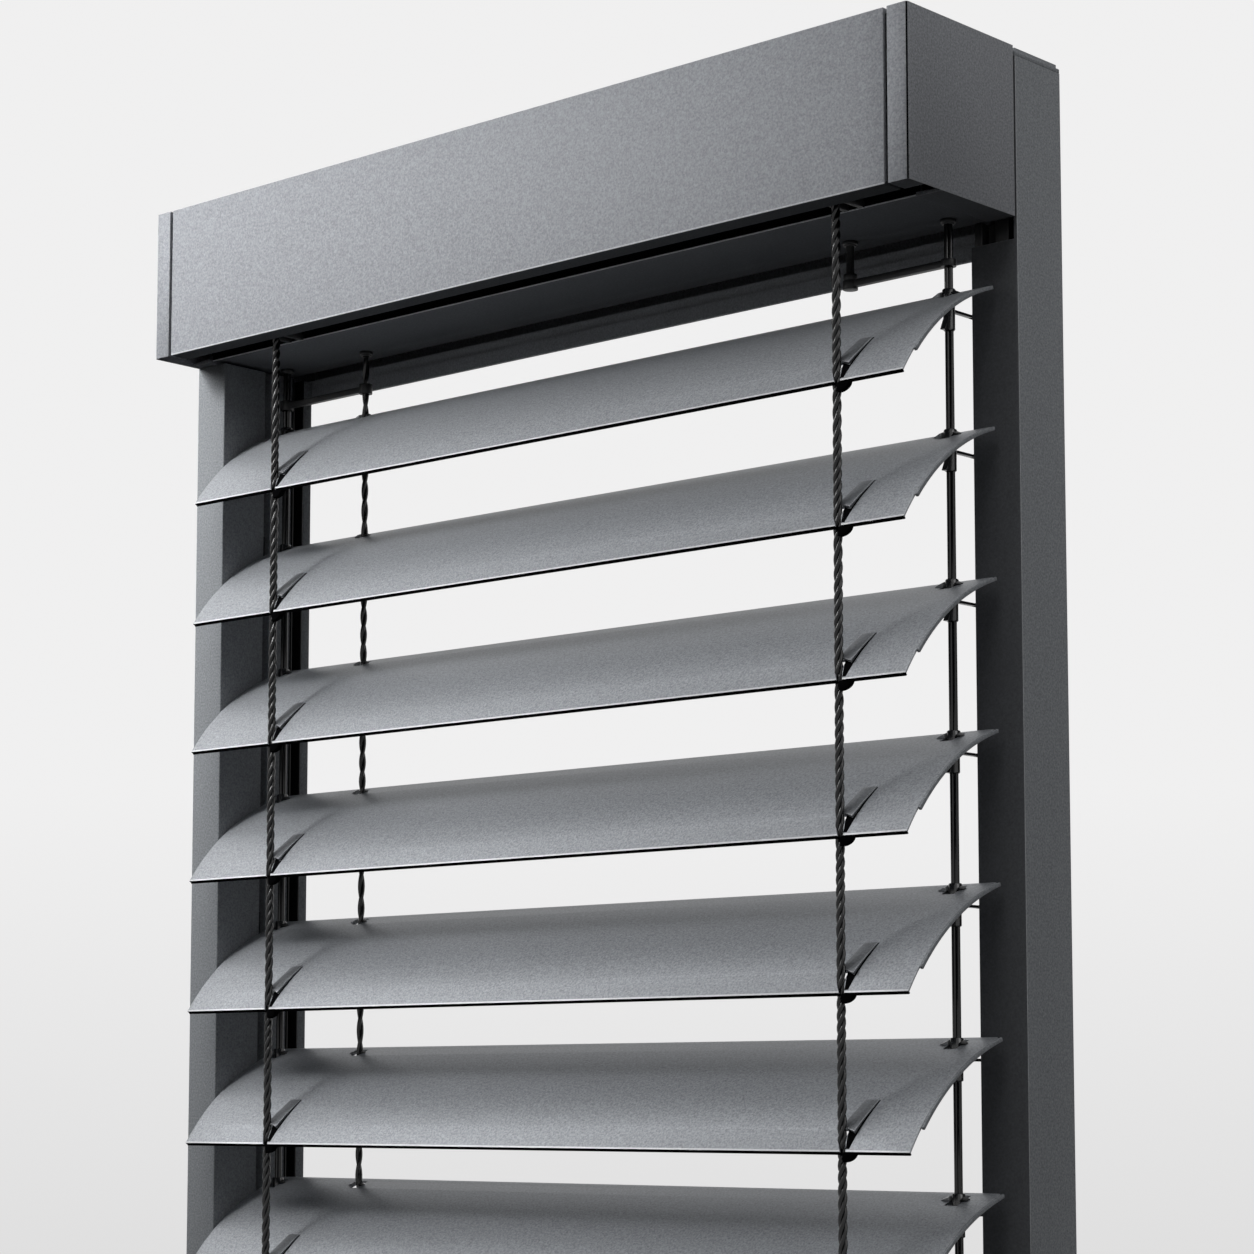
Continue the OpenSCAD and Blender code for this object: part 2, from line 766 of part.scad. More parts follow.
// clip beside a front cord: a tongue on the slat and a hook under its edge
module cord_clip(x) {
    x0 = x + notch_w / 2;
    along_x(x0, x0 + clip_w) arc_band(0, clip_l, slat_t / 2 + seat, slat_t / 2 + clip_t);
    along_x(x0, x0 + hook_w) arc_band(0, hook_l, -slat_t / 2 - hook_h, -slat_t / 2 - seat);
}

module slat_fittings(i) color(black) {
    at_pivot(i) {
        for (x = outer_x) tilt_frame(x);
        foot();
        for (x = front_x) cord_clip(x);
        along_x(slat_x1, slat_x1 + strip_t) arc_band(strip_s, chord, -slat_t / 2 - strip_drop, slat_t / 2);
    }
}

// ---------- carriers ----------

// sleeve on the outer rear cord with pins for the slat and a shoe in the guide groove
module carrier(i, x, dir, groove) {
    z = pivot_z(i);
    g0 = groove + liner_t + run;
    edge = dir < 0 ? left_in : right_in;
    tip = edge + dir * (groove_in - liner_t - shoe_gap);
    xa = x - dir * arm_w / 2;
    difference() {
        union() {
            bar_z(ring_r, x, pivot_y, z - ring_h, z + ring_h);
            bar_z(sleeve_r, x, pivot_y, z + sleeve_z0, z - ring_h + eps);
            block([x - arm_w / 2, x + arm_w / 2], [pivot_y, g0 + shoe_d], [z + arm_z0, z + arm_z1]);
            block([min(xa, tip), max(xa, tip)], [g0, g0 + shoe_d], [z + shoe_z0, z + shoe_z1]);
            bar_x(pin_r, x - frame_w / 2 + pin_in, x + frame_w / 2 - pin_in, pivot_y, z);
            along_x(x - wedge_w / 2, x + wedge_w / 2) polygon([
                [pivot_y - sleeve_r + wedge_root, z + wedge_z],
                [pivot_y - sleeve_r - wedge_out, z + sleeve_z0],
                [pivot_y - sleeve_r + wedge_root, z + sleeve_z0]]);
        }
        bar_z(cord_r + cord_fit, x, pivot_y, z + 2 * sleeve_z0, z + 2 * ring_h);
    }
}

module carriers(i) color(black) {
    carrier(i, outer_x[0], -1, left_groove_y);
    carrier(i, outer_x[1], 1, right_groove_y);
}

// the lowest carriers hold the ends of the rear cords and the pins of the bottom rail
module base_carrier(x, dir, groove) {
    z = last_z;
    g0 = groove + liner_t + run;
    edge = dir < 0 ? left_in : right_in;
    tip = edge + dir * (groove_in - liner_t - shoe_gap);
    b = base_block;
    xa = x - dir * b;
    xb = x + dir * min(b, abs(edge - x) - run);
    difference() {
        union() {
            block([min(xa, xb), max(xa, xb)], [pivot_y - b, g0 + shoe_d], [z - base_half_h, z + base_half_h]);
            block([min(xa, tip), max(xa, tip)], [g0, g0 + shoe_d], [z + shoe_z0, z + base_half_h]);
        }
        bar_z(cord_r + cord_fit, x, pivot_y, z, z + 2 * base_half_h);
        bar_x(base_pin_r + fit, min(xa, xa + dir * base_bore), max(xa, xa + dir * base_bore), pivot_y, z);
    }
}

module base_carriers() color(black) {
    base_carrier(outer_x[0], -1, left_groove_y);
    base_carrier(outer_x[1], 1, right_groove_y);
}

// ---------- bottom rail ----------

module base_section(inset) {
    r = base_t / 2 - inset;
    translate([base_t / 2, 0]) circle(r = r);
    translate([chord - base_t / 2, 0]) circle(r = r);
    translate([base_t / 2, -r]) square([chord - base_t, 2 * r]);
}

module bottom_rail() color(grey) {
    at_pivot(n_lift) translate([0, 0, base_rise]) difference() {
        along_x(-base_x, base_x) difference() {
            base_section(0);
            base_section(base_wall);
        }
        for (x = front_x)
            block([x - notch_w / 2, x + notch_w / 2], [-1, notch_s + base_notch], [-base_t, base_t]);
    }
}

module bottom_rail_caps() color(black) {
    at_pivot(n_lift) translate([0, 0, base_rise])
        for (side = [-1, 1]) {
            a = side * base_x;
            b = side * (base_x + base_cap_t);
            tip = side * (base_x + base_cap_t + base_pin_l);
            along_x(min(a, b), max(a, b)) base_section(0);
            bar_x(base_pin_r, min(b - side * base_cap_over, tip), max(b - side * base_cap_over, tip),
                  front_to_pivot, rise(front_to_pivot) - base_rise);
        }
}

front_cover();
end_cap_left();
end_cap_right();
cap_brackets();
back_rail();
head_rail();
rail_brackets();
bracket_screws();
motor();
bearing_blocks();
drive_shaft();
lift_spools();
tilt_drums();
cord_rollers();
roller_brackets();
cord_collars();
hanger_rod();
bridge_bars();
left_front_post();
left_guide_rail();
right_guide_post();
post_spacers();
groove_liners();
post_joint_blocks();
post_plugs();
right_post_cap();
wall_standoffs();
rear_cord_left();
rear_cord_inner();
rear_cord_right();
front_cord_left();
front_cord_right();
for (i = [1:8]) slat(i);
for (i = [1:8]) slat_fittings(i);
for (i = [1:8]) carriers(i);
base_carriers();  // carriers_9
bottom_rail();
bottom_rail_caps();
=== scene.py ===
import json
import math

import bmesh
import bpy
from mathutils import Matrix, Vector


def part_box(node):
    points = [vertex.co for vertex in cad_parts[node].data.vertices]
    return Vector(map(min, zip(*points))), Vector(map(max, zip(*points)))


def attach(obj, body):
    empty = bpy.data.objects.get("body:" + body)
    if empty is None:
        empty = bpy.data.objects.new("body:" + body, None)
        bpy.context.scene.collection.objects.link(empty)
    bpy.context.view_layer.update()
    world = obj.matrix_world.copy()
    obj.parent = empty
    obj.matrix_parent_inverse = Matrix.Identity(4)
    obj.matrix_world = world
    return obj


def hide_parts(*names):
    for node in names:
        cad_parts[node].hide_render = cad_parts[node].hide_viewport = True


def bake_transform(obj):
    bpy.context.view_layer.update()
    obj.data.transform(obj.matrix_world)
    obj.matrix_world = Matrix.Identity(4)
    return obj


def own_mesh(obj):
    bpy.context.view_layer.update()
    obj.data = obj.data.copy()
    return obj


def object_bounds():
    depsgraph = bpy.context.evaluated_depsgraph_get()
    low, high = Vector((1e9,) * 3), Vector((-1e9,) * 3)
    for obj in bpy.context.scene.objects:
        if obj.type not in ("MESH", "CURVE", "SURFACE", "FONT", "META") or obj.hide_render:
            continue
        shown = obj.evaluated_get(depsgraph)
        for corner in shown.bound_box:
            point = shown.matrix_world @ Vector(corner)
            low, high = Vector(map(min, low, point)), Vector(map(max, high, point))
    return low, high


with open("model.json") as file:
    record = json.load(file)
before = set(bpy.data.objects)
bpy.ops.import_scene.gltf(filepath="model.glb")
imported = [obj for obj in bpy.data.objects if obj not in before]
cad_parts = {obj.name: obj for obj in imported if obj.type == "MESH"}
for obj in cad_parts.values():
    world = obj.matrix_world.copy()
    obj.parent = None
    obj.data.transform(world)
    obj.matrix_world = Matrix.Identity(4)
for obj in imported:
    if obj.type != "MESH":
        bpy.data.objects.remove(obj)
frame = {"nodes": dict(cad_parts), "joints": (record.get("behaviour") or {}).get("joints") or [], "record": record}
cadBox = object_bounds()
mm = 0.001


def inMm(sizes):
    # sizes given in millimetres, also those in lists, turned into metres
    if isinstance(sizes, dict):
        return {key: inMm(value) for key, value in sizes.items()}
    return [inMm(value) for value in sizes] if isinstance(sizes, list) else sizes * mm


nodes = frame["nodes"]
joints = {j["name"]: j for j in frame["joints"]}
record = frame["record"]
nodeSlots = {s["node"]: s["material_slot"] for s in record["subparts"]}
nodeBodies = {node: body for body, held in record["behaviour"]["bodies"].items() for node in held}
slatNumbers = range(1, 9)


def deselectAll():
    if bpy.context.object and bpy.context.object.mode == "EDIT":
        bpy.ops.object.mode_set(mode="OBJECT")
    bpy.ops.object.select_all(action="DESELECT")


def useOnly(piece):
    deselectAll()
    piece.select_set(True)
    bpy.context.view_layer.objects.active = piece


def editMode():
    bpy.ops.object.mode_set(mode="EDIT")


def objectMode():
    bpy.ops.object.mode_set(mode="OBJECT")


def selectWhole():
    bpy.ops.mesh.select_all(action="SELECT")


def begin(name):
    # names the primitive that was just added and opens it with everything selected
    piece = bpy.context.object
    piece.name = piece.data.name = name
    editMode()
    selectWhole()
    return piece


def pick(piece, kind, test):
    # selects the vertices, edges or faces whose middle passes the test, and returns how many
    work = bmesh.from_edit_mesh(piece.data)
    bpy.ops.mesh.select_mode(type=kind)
    bpy.ops.mesh.select_all(action="DESELECT")
    if kind == "VERT":
        found = [v for v in work.verts if test(v.co)]
    elif kind == "EDGE":
        found = [e for e in work.edges if test((e.verts[0].co + e.verts[1].co) / 2)]
    else:
        found = [f for f in work.faces if test(f.calc_center_median())]
    for item in found:
        item.select_set(True)
    bmesh.update_edit_mesh(piece.data)
    return len(found)


def startEdge(name, first, last):
    # one edge from point to point, ready to be extruded; leaves edit mode on
    deselectAll()
    bpy.ops.mesh.primitive_plane_add(size=2)
    piece = begin(name)
    pick(piece, "VERT", lambda p: p.y > 0)
    bpy.ops.mesh.delete(type="VERT")
    work = bmesh.from_edit_mesh(piece.data)
    ends = sorted(work.verts, key=lambda v: v.co.x)
    ends[0].co, ends[1].co = Vector(first), Vector(last)
    bmesh.update_edit_mesh(piece.data)
    bpy.ops.mesh.select_mode(type="EDGE")
    selectWhole()
    return piece


def pull(move):
    bpy.ops.mesh.extrude_region_move(TRANSFORM_OT_translate={"value": tuple(move)})


def slide(move):
    bpy.ops.transform.translate(value=tuple(move))


def swing(angle):
    # turns the selection about the X axis through the origin
    bpy.ops.transform.rotate(value=angle, orient_axis="X", center_override=(0, 0, 0))


def cutAt(place, normal):
    selectWhole()
    bpy.ops.mesh.bisect(plane_co=tuple(place), plane_no=tuple(normal))


def closeUp():
    # merges doubles and turns the normals to one side
    selectWhole()
    bpy.ops.mesh.remove_doubles(threshold=0.00001)
    bpy.ops.mesh.normals_make_consistent(inside=False)


def faceOut(piece, outward):
    # closes up and makes the face that looks most along outward really look that way
    closeUp()
    work = bmesh.from_edit_mesh(piece.data)
    way = Vector(outward)
    best = max(work.faces, key=lambda f: abs(f.normal.dot(way)) * f.calc_area())
    if best.normal.dot(way) < 0:
        bpy.ops.mesh.flip_normals()


def finishWith(piece, wall=0.0, edge=0.0, steps=2, angle=35, offset=-1.0, smooth=35):
    # solidify and bevel, applied, then smooth shading under the angle
    objectMode()
    useOnly(piece)
    if wall:
        mod = piece.modifiers.new("wall", "SOLIDIFY")
        mod.thickness = wall
        mod.offset = offset
        mod.use_even_offset = True
        bpy.ops.object.modifier_apply(modifier=mod.name)
    if edge:
        mod = piece.modifiers.new("edge", "BEVEL")
        mod.width = edge
        mod.segments = steps
        mod.limit_method = "ANGLE"
        mod.angle_limit = math.radians(angle)
        mod.use_clamp_overlap = True
        bpy.ops.object.modifier_apply(modifier=mod.name)
    bpy.ops.object.shade_smooth_by_angle(angle=math.radians(smooth))
    return piece


def evenShading(piece):
    # large flat faces set the normals, so they shade as flat
    useOnly(piece)
    mod = piece.modifiers.new("even", "WEIGHTED_NORMAL")
    mod.keep_sharp = True
    bpy.ops.object.modifier_apply(modifier=mod.name)


def joinAll(name, parts):
    deselectAll()
    for p in parts:
        p.select_set(True)
    bpy.context.view_layer.objects.active = parts[0]
    if len(parts) > 1:
        bpy.ops.object.join()
    piece = bpy.context.object
    piece.name = piece.data.name = name
    return piece


def movedCopy(piece, name, move):
    other = piece.copy()
    other.data = piece.data.copy()
    other.name = other.data.name = name
    other.data.transform(Matrix.Translation(move))
    bpy.context.scene.collection.objects.link(other)
    return other


def softCopy(node, name, edge):
    # a copy of a CAD node, merged, with its sharp edges broken
    deselectAll()
    piece = nodes[node].copy()
    piece.data = nodes[node].data.copy()
    piece.parent = None
    piece.name = piece.data.name = name
    for key in list(piece.keys()):
        del piece[key]
    bpy.context.scene.collection.objects.link(piece)
    piece.matrix_world = Matrix.Identity(4)
    useOnly(piece)
    editMode()
    selectWhole()
    bpy.ops.mesh.remove_doubles(threshold=0.000002)
    bpy.ops.mesh.dissolve_limited(angle_limit=math.radians(1))
    return finishWith(piece, edge=edge)


def solidBlock(name, low, high, edge):
    # a block from corner to corner with broken edges
    deselectAll()
    bpy.ops.mesh.primitive_cube_add(size=1)
    piece = begin(name)
    bpy.ops.transform.resize(value=tuple(b - a for a, b in zip(low, high)))
    slide([(a + b) / 2 for a, b in zip(low, high)])
    return finishWith(piece, edge=edge)


def place(piece, body, slotName, looks, *replaced):
    # gives a piece its finishes and body, and hides the nodes it stands for
    piece.data.materials.clear()
    for name in [looks] if isinstance(looks, str) else looks:
        piece.data.materials.append(coats[name])
    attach(piece, body)
    if replaced:
        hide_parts(*replaced)
    return piece


def paint(piece, index, test):
    # gives the faces that pass the test another of the piece's finishes
    for f in piece.data.polygons:
        if test(f.center, f.normal):
            f.material_index = index


def newMaterial(name):
    material = bpy.data.materials.new(name)
    material.use_nodes = True
    return material, material.node_tree, material.node_tree.nodes["Principled BSDF"]


def newGroup(name, inputs, outputs):
    group = bpy.data.node_groups.new(name, "ShaderNodeTree")
    for label, kind, value in inputs:
        made = group.interface.new_socket(name=label, in_out="INPUT", socket_type=kind)
        made.default_value = value
    for label, kind in outputs:
        group.interface.new_socket(name=label, in_out="OUTPUT", socket_type=kind)
    inner, outer = group.nodes.new("NodeGroupInput"), group.nodes.new("NodeGroupOutput")
    return group, inner, outer


def feed(tree, node, inputs):
    # gives each input its value, or a link from another node's output
    for key, value in inputs.items():
        if isinstance(value, bpy.types.NodeSocket):
            tree.links.new(value, node.inputs[key])
        else:
            node.inputs[key].default_value = value


def addNode(tree, kind, inputs, **settings):
    node = tree.nodes.new("ShaderNode" + kind)
    for key, value in settings.items():
        setattr(node, key, value)
    feed(tree, node, inputs)
    return node


def mathNode(tree, kind, *values):
    return addNode(tree, "Math", dict(enumerate(values)), operation=kind).outputs[0]


def noiseNode(tree, coords, scale, detail=2.0, rough=0.5):
    return addNode(tree, "TexNoise", {"Vector": coords, "Scale": scale, "Detail": detail,
                                      "Roughness": rough}).outputs["Fac"]


def scaleColour(tree, colour, factor):
    return addNode(tree, "VectorMath", {0: colour, "Scale": factor}, operation="SCALE").outputs[0]


def mixColours(tree, factor, first, second):
    return addNode(tree, "Mix", {"Factor": factor, 6: first, 7: second}, data_type="RGBA").outputs[2]


def bumpNode(tree, height, strength, depth):
    return addNode(tree, "Bump", {"Strength": strength, "Distance": depth, "Height": height}).outputs["Normal"]


def coordsNode(tree, kind="Object"):
    return addNode(tree, "TexCoord", {}).outputs[kind]


def seenRays(tree):
    # 1 for camera, glossy and transmission rays
    rays = addNode(tree, "LightPath", {}).outputs
    return mathNode(tree, "MAXIMUM", rays["Is Camera Ray"],
                    mathNode(tree, "MAXIMUM", rays["Is Glossy Ray"], rays["Is Transmission Ray"]))


grainLook = {"cloudScale": 9.0, "flakeShare": 0.9, "bumpDepth": 0.00005}
wearAndHighlightLook = {"radius": 0.0006, "gain": 4.0, "breakScale": 260.0, "samples": 4}


def makeGrainGroup():
    # fine powder grain, cloudy tone and small flakes
    group, inner, outer = newGroup("coatGrain", [
        ("Color", "NodeSocketColor", (0.2, 0.2, 0.2, 1)), ("Grain", "NodeSocketFloat", 0.1),
        ("Cloud", "NodeSocketFloat", 0.06), ("Flake", "NodeSocketFloat", 0.3),
        ("Grain Scale", "NodeSocketFloat", 1500.0), ("Rough", "NodeSocketFloat", 0.45),
        ("Rough Spread", "NodeSocketFloat", 0.08)],
        [("Color", "NodeSocketColor"), ("Roughness", "NodeSocketFloat"), ("Height", "NodeSocketFloat")])
    given = inner.outputs
    coords = coordsNode(group)
    fine = noiseNode(group, coords, given["Grain Scale"], 2.0, 0.6)
    cloud = noiseNode(group, coords, grainLook["cloudScale"], 3.0, 0.55)
    cells = addNode(group, "TexVoronoi", {"Vector": coords, "Scale": given["Grain Scale"]})
    bright = addNode(group, "SeparateColor", {0: cells.outputs["Color"]}).outputs[0]
    flake = mathNode(group, "GREATER_THAN", bright, grainLook["flakeShare"])
    flake = mathNode(group, "MULTIPLY", flake, given["Flake"])
    grain = mathNode(group, "MULTIPLY", mathNode(group, "SUBTRACT", fine, 0.5), given["Grain"])
    tone = mathNode(group, "MULTIPLY", mathNode(group, "SUBTRACT", cloud, 0.5), given["Cloud"])
    total = mathNode(group, "ADD", mathNode(group, "ADD", grain, tone), mathNode(group, "ADD", flake, 1.0))
    spread = mathNode(group, "MULTIPLY", mathNode(group, "SUBTRACT", fine, 0.5), given["Rough Spread"])
    feed(group, outer, {"Color": scaleColour(group, given["Color"], total),
                        "Roughness": mathNode(group, "ADD", spread, given["Rough"]), "Height": fine})
    return group


def makeWearAndHighlightGroup():
    # a lighter tone along the edges, partly rub and partly painted highlight, broken up by noise
    group, inner, outer = newGroup("edgeWearAndHighlight", [
        ("Color", "NodeSocketColor", (0.2, 0.2, 0.2, 1)), ("Worn And Highlight Color", "NodeSocketColor", (0.4, 0.4, 0.4, 1)),
        ("Amount", "NodeSocketFloat", 0.5), ("Radius", "NodeSocketFloat", wearAndHighlightLook["radius"])],
        [("Color", "NodeSocketColor")])
    given = inner.outputs
    bevel = addNode(group, "Bevel", {"Radius": given["Radius"]}, samples=wearAndHighlightLook["samples"])
    flat = addNode(group, "NewGeometry", {}).outputs["True Normal"]
    dot = addNode(group, "VectorMath", {0: bevel.outputs["Normal"], 1: flat}, operation="DOT_PRODUCT")
    away = mathNode(group, "SUBTRACT", 1.0, dot.outputs["Value"])
    away = mathNode(group, "MULTIPLY", away, wearAndHighlightLook["gain"])
    broken = noiseNode(group, coordsNode(group), wearAndHighlightLook["breakScale"], 3.0, 0.6)
    mask = mathNode(group, "MULTIPLY", mathNode(group, "MULTIPLY", away, broken), given["Amount"])
    mask = mathNode(group, "MAXIMUM", mathNode(group, "MINIMUM", mask, 1.0), 0.0)
    feed(group, outer, {"Color": mixColours(group, mask, given["Color"], given["Worn And Highlight Color"])})
    return group


coatGrain = makeGrainGroup()
edgeWearAndHighlight = makeWearAndHighlightGroup()


def coated(name, look):
    material, tree, shader = newMaterial(name)
    grain = addNode(tree, "Group", {}, node_tree=coatGrain)
    feed(tree, grain, {"Color": (*look["colour"], 1), "Grain": look["grain"], "Cloud": look["cloud"],
                       "Flake": look["flake"], "Grain Scale": look["grainScale"], "Rough": look["rough"],
                       "Rough Spread": look["roughSpread"]})
    wearAndHighlight = addNode(tree, "Group", {}, node_tree=edgeWearAndHighlight)
    feed(tree, wearAndHighlight, {"Color": grain.outputs["Color"], "Worn And Highlight Color": (*look["secondTone"], 1), "Amount": look["wearAndHighlight"]})
    feed(tree, shader, {"Metallic": look["metallic"], "Specular IOR Level": look["gloss"],
                        "Base Color": wearAndHighlight.outputs["Color"], "Roughness": grain.outputs["Roughness"],
                        "Normal": bumpNode(tree, grain.outputs["Height"], look["bump"], grainLook["bumpDepth"])})
    return material


plainLook = {"metallic": 0.0, "gloss": 0.06, "rough": 0.55, "roughSpread": 0.1, "grain": 0.6, "cloud": 0.05,
             "flake": 0.05, "grainScale": 1100, "bump": 0.1, "wearAndHighlight": 0.5}
coatLooks = {  # what differs from the plain look
    "coverCoat": {"colour": (0.322, 0.333, 0.356), "metallic": 0.06, "rough": 0.5, "roughSpread": 0.14,
                  "grain": 1.1, "cloud": 0.06, "flake": 0.1, "grainScale": 1050, "bump": 0.3,
                  "secondTone": (0.5, 0.51, 0.54)},
    # darker copy of the cover coat: painted shade on the sides of the end plates
    "capCoat": {"colour": (0.272, 0.281, 0.3), "metallic": 0.05, "gloss": 0.08, "roughSpread": 0.12,
                "grain": 1.4, "cloud": 0.06, "flake": 0.08, "grainScale": 1050, "bump": 0.25,
                "secondTone": (0.4, 0.41, 0.44)},
    "profileCoat": {"colour": (0.285, 0.299, 0.315), "grain": 1.25, "flake": 0.08, "bump": 0.22,
                    "secondTone": (0.42, 0.43, 0.46), "wearAndHighlight": 0.4},
    # darker copy of the profile coat: painted shade on the head rail, the caps' undersides and the right post's
    # front
    "paintedRailShade": {"colour": (0.16, 0.166, 0.175), "gloss": 0.0, "rough": 0.7, "cloud": 0.08, "bump": 0.22,
                 "secondTone": (0.42, 0.43, 0.46)},
    # slat coat; its strong pale edge tone is partly rub and mostly painted highlight along the edges
    "slatCoat": {"colour": (0.335, 0.35, 0.372), "metallic": 0.3, "gloss": 0.2, "rough": 0.43,
                 "roughSpread": 0.12, "grain": 1.5, "cloud": 0.04, "flake": 0.08, "bump": 0.2,
                 "secondTone": (0.66, 0.67, 0.7), "wearAndHighlight": 1.2},
    "blackPlastic": {"colour": (0.012, 0.0125, 0.0135), "gloss": 0.25, "rough": 0.42, "roughSpread": 0.15,
                     "cloud": 0.2, "grainScale": 1600, "bump": 0.2, "secondTone": (0.05, 0.052, 0.055), "wearAndHighlight": 0.15},
    # matte black: the hooks' own black, and painted shade in gaps, slits, under edges and on faces in shade
    "deepBlack": {"colour": (0.004, 0.004, 0.0045), "gloss": 0.0, "rough": 0.9, "cloud": 0.2, "flake": 0.0,
                  "grainScale": 1600, "secondTone": (0.01, 0.01, 0.01), "wearAndHighlight": 0.1},
    # painted shade for the cover's underside and lip
    "paintedUnderShade": {"colour": (0.1, 0.105, 0.111), "gloss": 0.0, "rough": 0.7, "cloud": 0.08, "bump": 0.22,
                  "secondTone": (0.12, 0.125, 0.13), "wearAndHighlight": 0.4},
    "bandCoat": {"colour": (0.44, 0.455, 0.475), "grain": 1.0, "flake": 0.08, "bump": 0.22,
                 "secondTone": (0.55, 0.56, 0.59), "wearAndHighlight": 0.4},
    # painted highlight for edges that catch the light
    "paintedEdgeHighlight": {"colour": (0.66, 0.67, 0.69), "gloss": 0.3, "rough": 0.4, "cloud": 0.1,
                 "secondTone": (0.7, 0.71, 0.73)},
    # darker copy of the slat coat, painted shade on the tongue, with a pale edge tone as painted highlight
    "tongueCoat": {"colour": (0.17, 0.178, 0.189), "metallic": 0.3, "gloss": 0.2, "rough": 0.42,
                   "roughSpread": 0.12, "grain": 1.2, "cloud": 0.04, "flake": 0.08, "bump": 0.2,
                   "secondTone": (0.62, 0.63, 0.66), "wearAndHighlight": 1.6},
    "sleevePlastic": {"colour": (0.016, 0.0165, 0.018), "gloss": 0.6, "rough": 0.22, "grain": 0.4, "cloud": 0.2,
                      "flake": 0.02, "grainScale": 1600, "secondTone": (0.06, 0.062, 0.066), "wearAndHighlight": 0.3},
    # painted highlight on the slat's front bevel and along the head rail's lower edge
    "slatRim": {"colour": (0.7, 0.71, 0.73), "metallic": 0.1, "gloss": 0.3, "rough": 0.35, "grain": 0.3,
                "cloud": 0.1, "secondTone": (0.85, 0.86, 0.88)},
    # painted light: pale lit side of the cord feet
    "paleTail": {"colour": (0.62, 0.63, 0.64), "gloss": 0.4, "rough": 0.38, "roughSpread": 0.15, "grain": 0.4,
                 "cloud": 0.15, "grainScale": 900, "secondTone": (0.6, 0.6, 0.61), "wearAndHighlight": 0.4},
    "steelParts": {"colour": (0.5, 0.51, 0.52), "metallic": 1.0, "gloss": 0.5, "rough": 0.34,
                   "roughSpread": 0.2, "grain": 0.4, "cloud": 0.15, "grainScale": 900, "secondTone": (0.7, 0.7, 0.7)},
}
coats = {name: coated(name, {**plainLook, **look}) for name, look in coatLooks.items()}

cordLook = {"colour": (0.003, 0.0031, 0.0036), "secondTone": (0.009, 0.0095, 0.0105), "rough": 0.2, "roughSpread": 0.2,
            "gloss": 0.4, "fibre": 2600.0, "stretch": 0.35, "patches": 60.0, "bump": 0.35, "bumpDepth": 0.00008}


def makeCordMaterial(look):
    # glossy sheath with fine braided threads
    material, tree, shader = newMaterial("cordSheath")
    coords = coordsNode(tree)
    drawn = addNode(tree, "Mapping", {"Vector": coords, "Scale": (1.0, 1.0, look["stretch"])})
    threads = noiseNode(tree, drawn.outputs[0], look["fibre"], 3.0, 0.6)
    patches = noiseNode(tree, coords, look["patches"])
    ramp = mathNode(tree, "MAXIMUM", mathNode(tree, "SUBTRACT", threads, 0.5), 0.0)
    colour = mixColours(tree, mathNode(tree, "MULTIPLY", ramp, 2.0), (*look["colour"], 1), (*look["secondTone"], 1))
    rough = mathNode(tree, "MULTIPLY_ADD", patches, look["roughSpread"], look["rough"] - look["roughSpread"] / 2)
    feed(tree, shader, {"Specular IOR Level": look["gloss"], "Base Color": colour, "Roughness": rough,
                        "Normal": bumpNode(tree, threads, look["bump"], look["bumpDepth"])})
    return material


coats["cordSheath"] = makeCordMaterial(cordLook)
slotMaterials = {"cover_coat": "coverCoat", "cap_coat": "capCoat", "profile_coat": "profileCoat",
                 "slat_coat": "slatCoat", "black_plastic": "blackPlastic", "cord": "cordSheath",
                 "steel": "steelParts"}
for nodeName, node in nodes.items():  # every CAD node starts with its slot's finish
    node.data.materials.clear()
    node.data.materials.append(coats[slotMaterials[nodeSlots[nodeName]]])
print("materials made")

camera = {"place": (1.0137, -1.1438, -0.4180), "turn": 41.981, "rise": 6.029, "lens": 91.21, "shift": 0.11}
lens = bpy.data.cameras.new("studioCamera")
lens.lens = camera["lens"]
lens.sensor_width = 36
lens.shift_y = camera["shift"]
lens.clip_end = 100
eye = bpy.data.objects.new("studioCamera", lens)
eye.location = camera["place"]
eye.rotation_euler = (math.radians(90 + camera["rise"]), 0, math.radians(camera["turn"]))
bpy.context.scene.collection.objects.link(eye)
bpy.context.scene.camera = eye

# name: place, aim, size, power and spread in degrees
lamps = {
    "keyLamp": [(-0.85, -0.8, 0.4), (-0.45, -0.1, 0.1), 0.5, 1.77, 80],
    "frontLamp": [(-0.62, -0.95, 0.45), (-0.35, -0.1, 0.02), 0.22, 1.02, 70],
    "skyLamp": [(-1.05, -0.45, 0.75), (0.0, -0.08, -0.4), 0.9, 0.54, 90],
    "topLamp": [(0.3, -0.75, 0.85), (0.15, -0.08, -0.4), 0.8, 0.88, 90],
    "fillLamp": [(2.2, -0.2, 1.0), (0.2, 0.0, -0.2), 1.2, 4.2, 120],
}
for name, (at, aim, size, power, spread) in lamps.items():
    data = bpy.data.lights.new(name, "AREA")
    data.shape = "SQUARE"
    data.size = size
    data.energy = power
    data.spread = math.radians(spread)
    made = bpy.data.objects.new(name, data)
    made.location = at
    made.rotation_euler = (Vector(aim) - Vector(at)).to_track_quat("-Z", "Y").to_euler()
    bpy.context.scene.collection.objects.link(made)

backdrop = {"seen": (0.872, 0.869, 0.870), "fade": 1.05, "edge": 0.90, "least": 0.84, "light": (1.0, 1.0, 1.02),
            "high": 0.16, "low": 0.01}


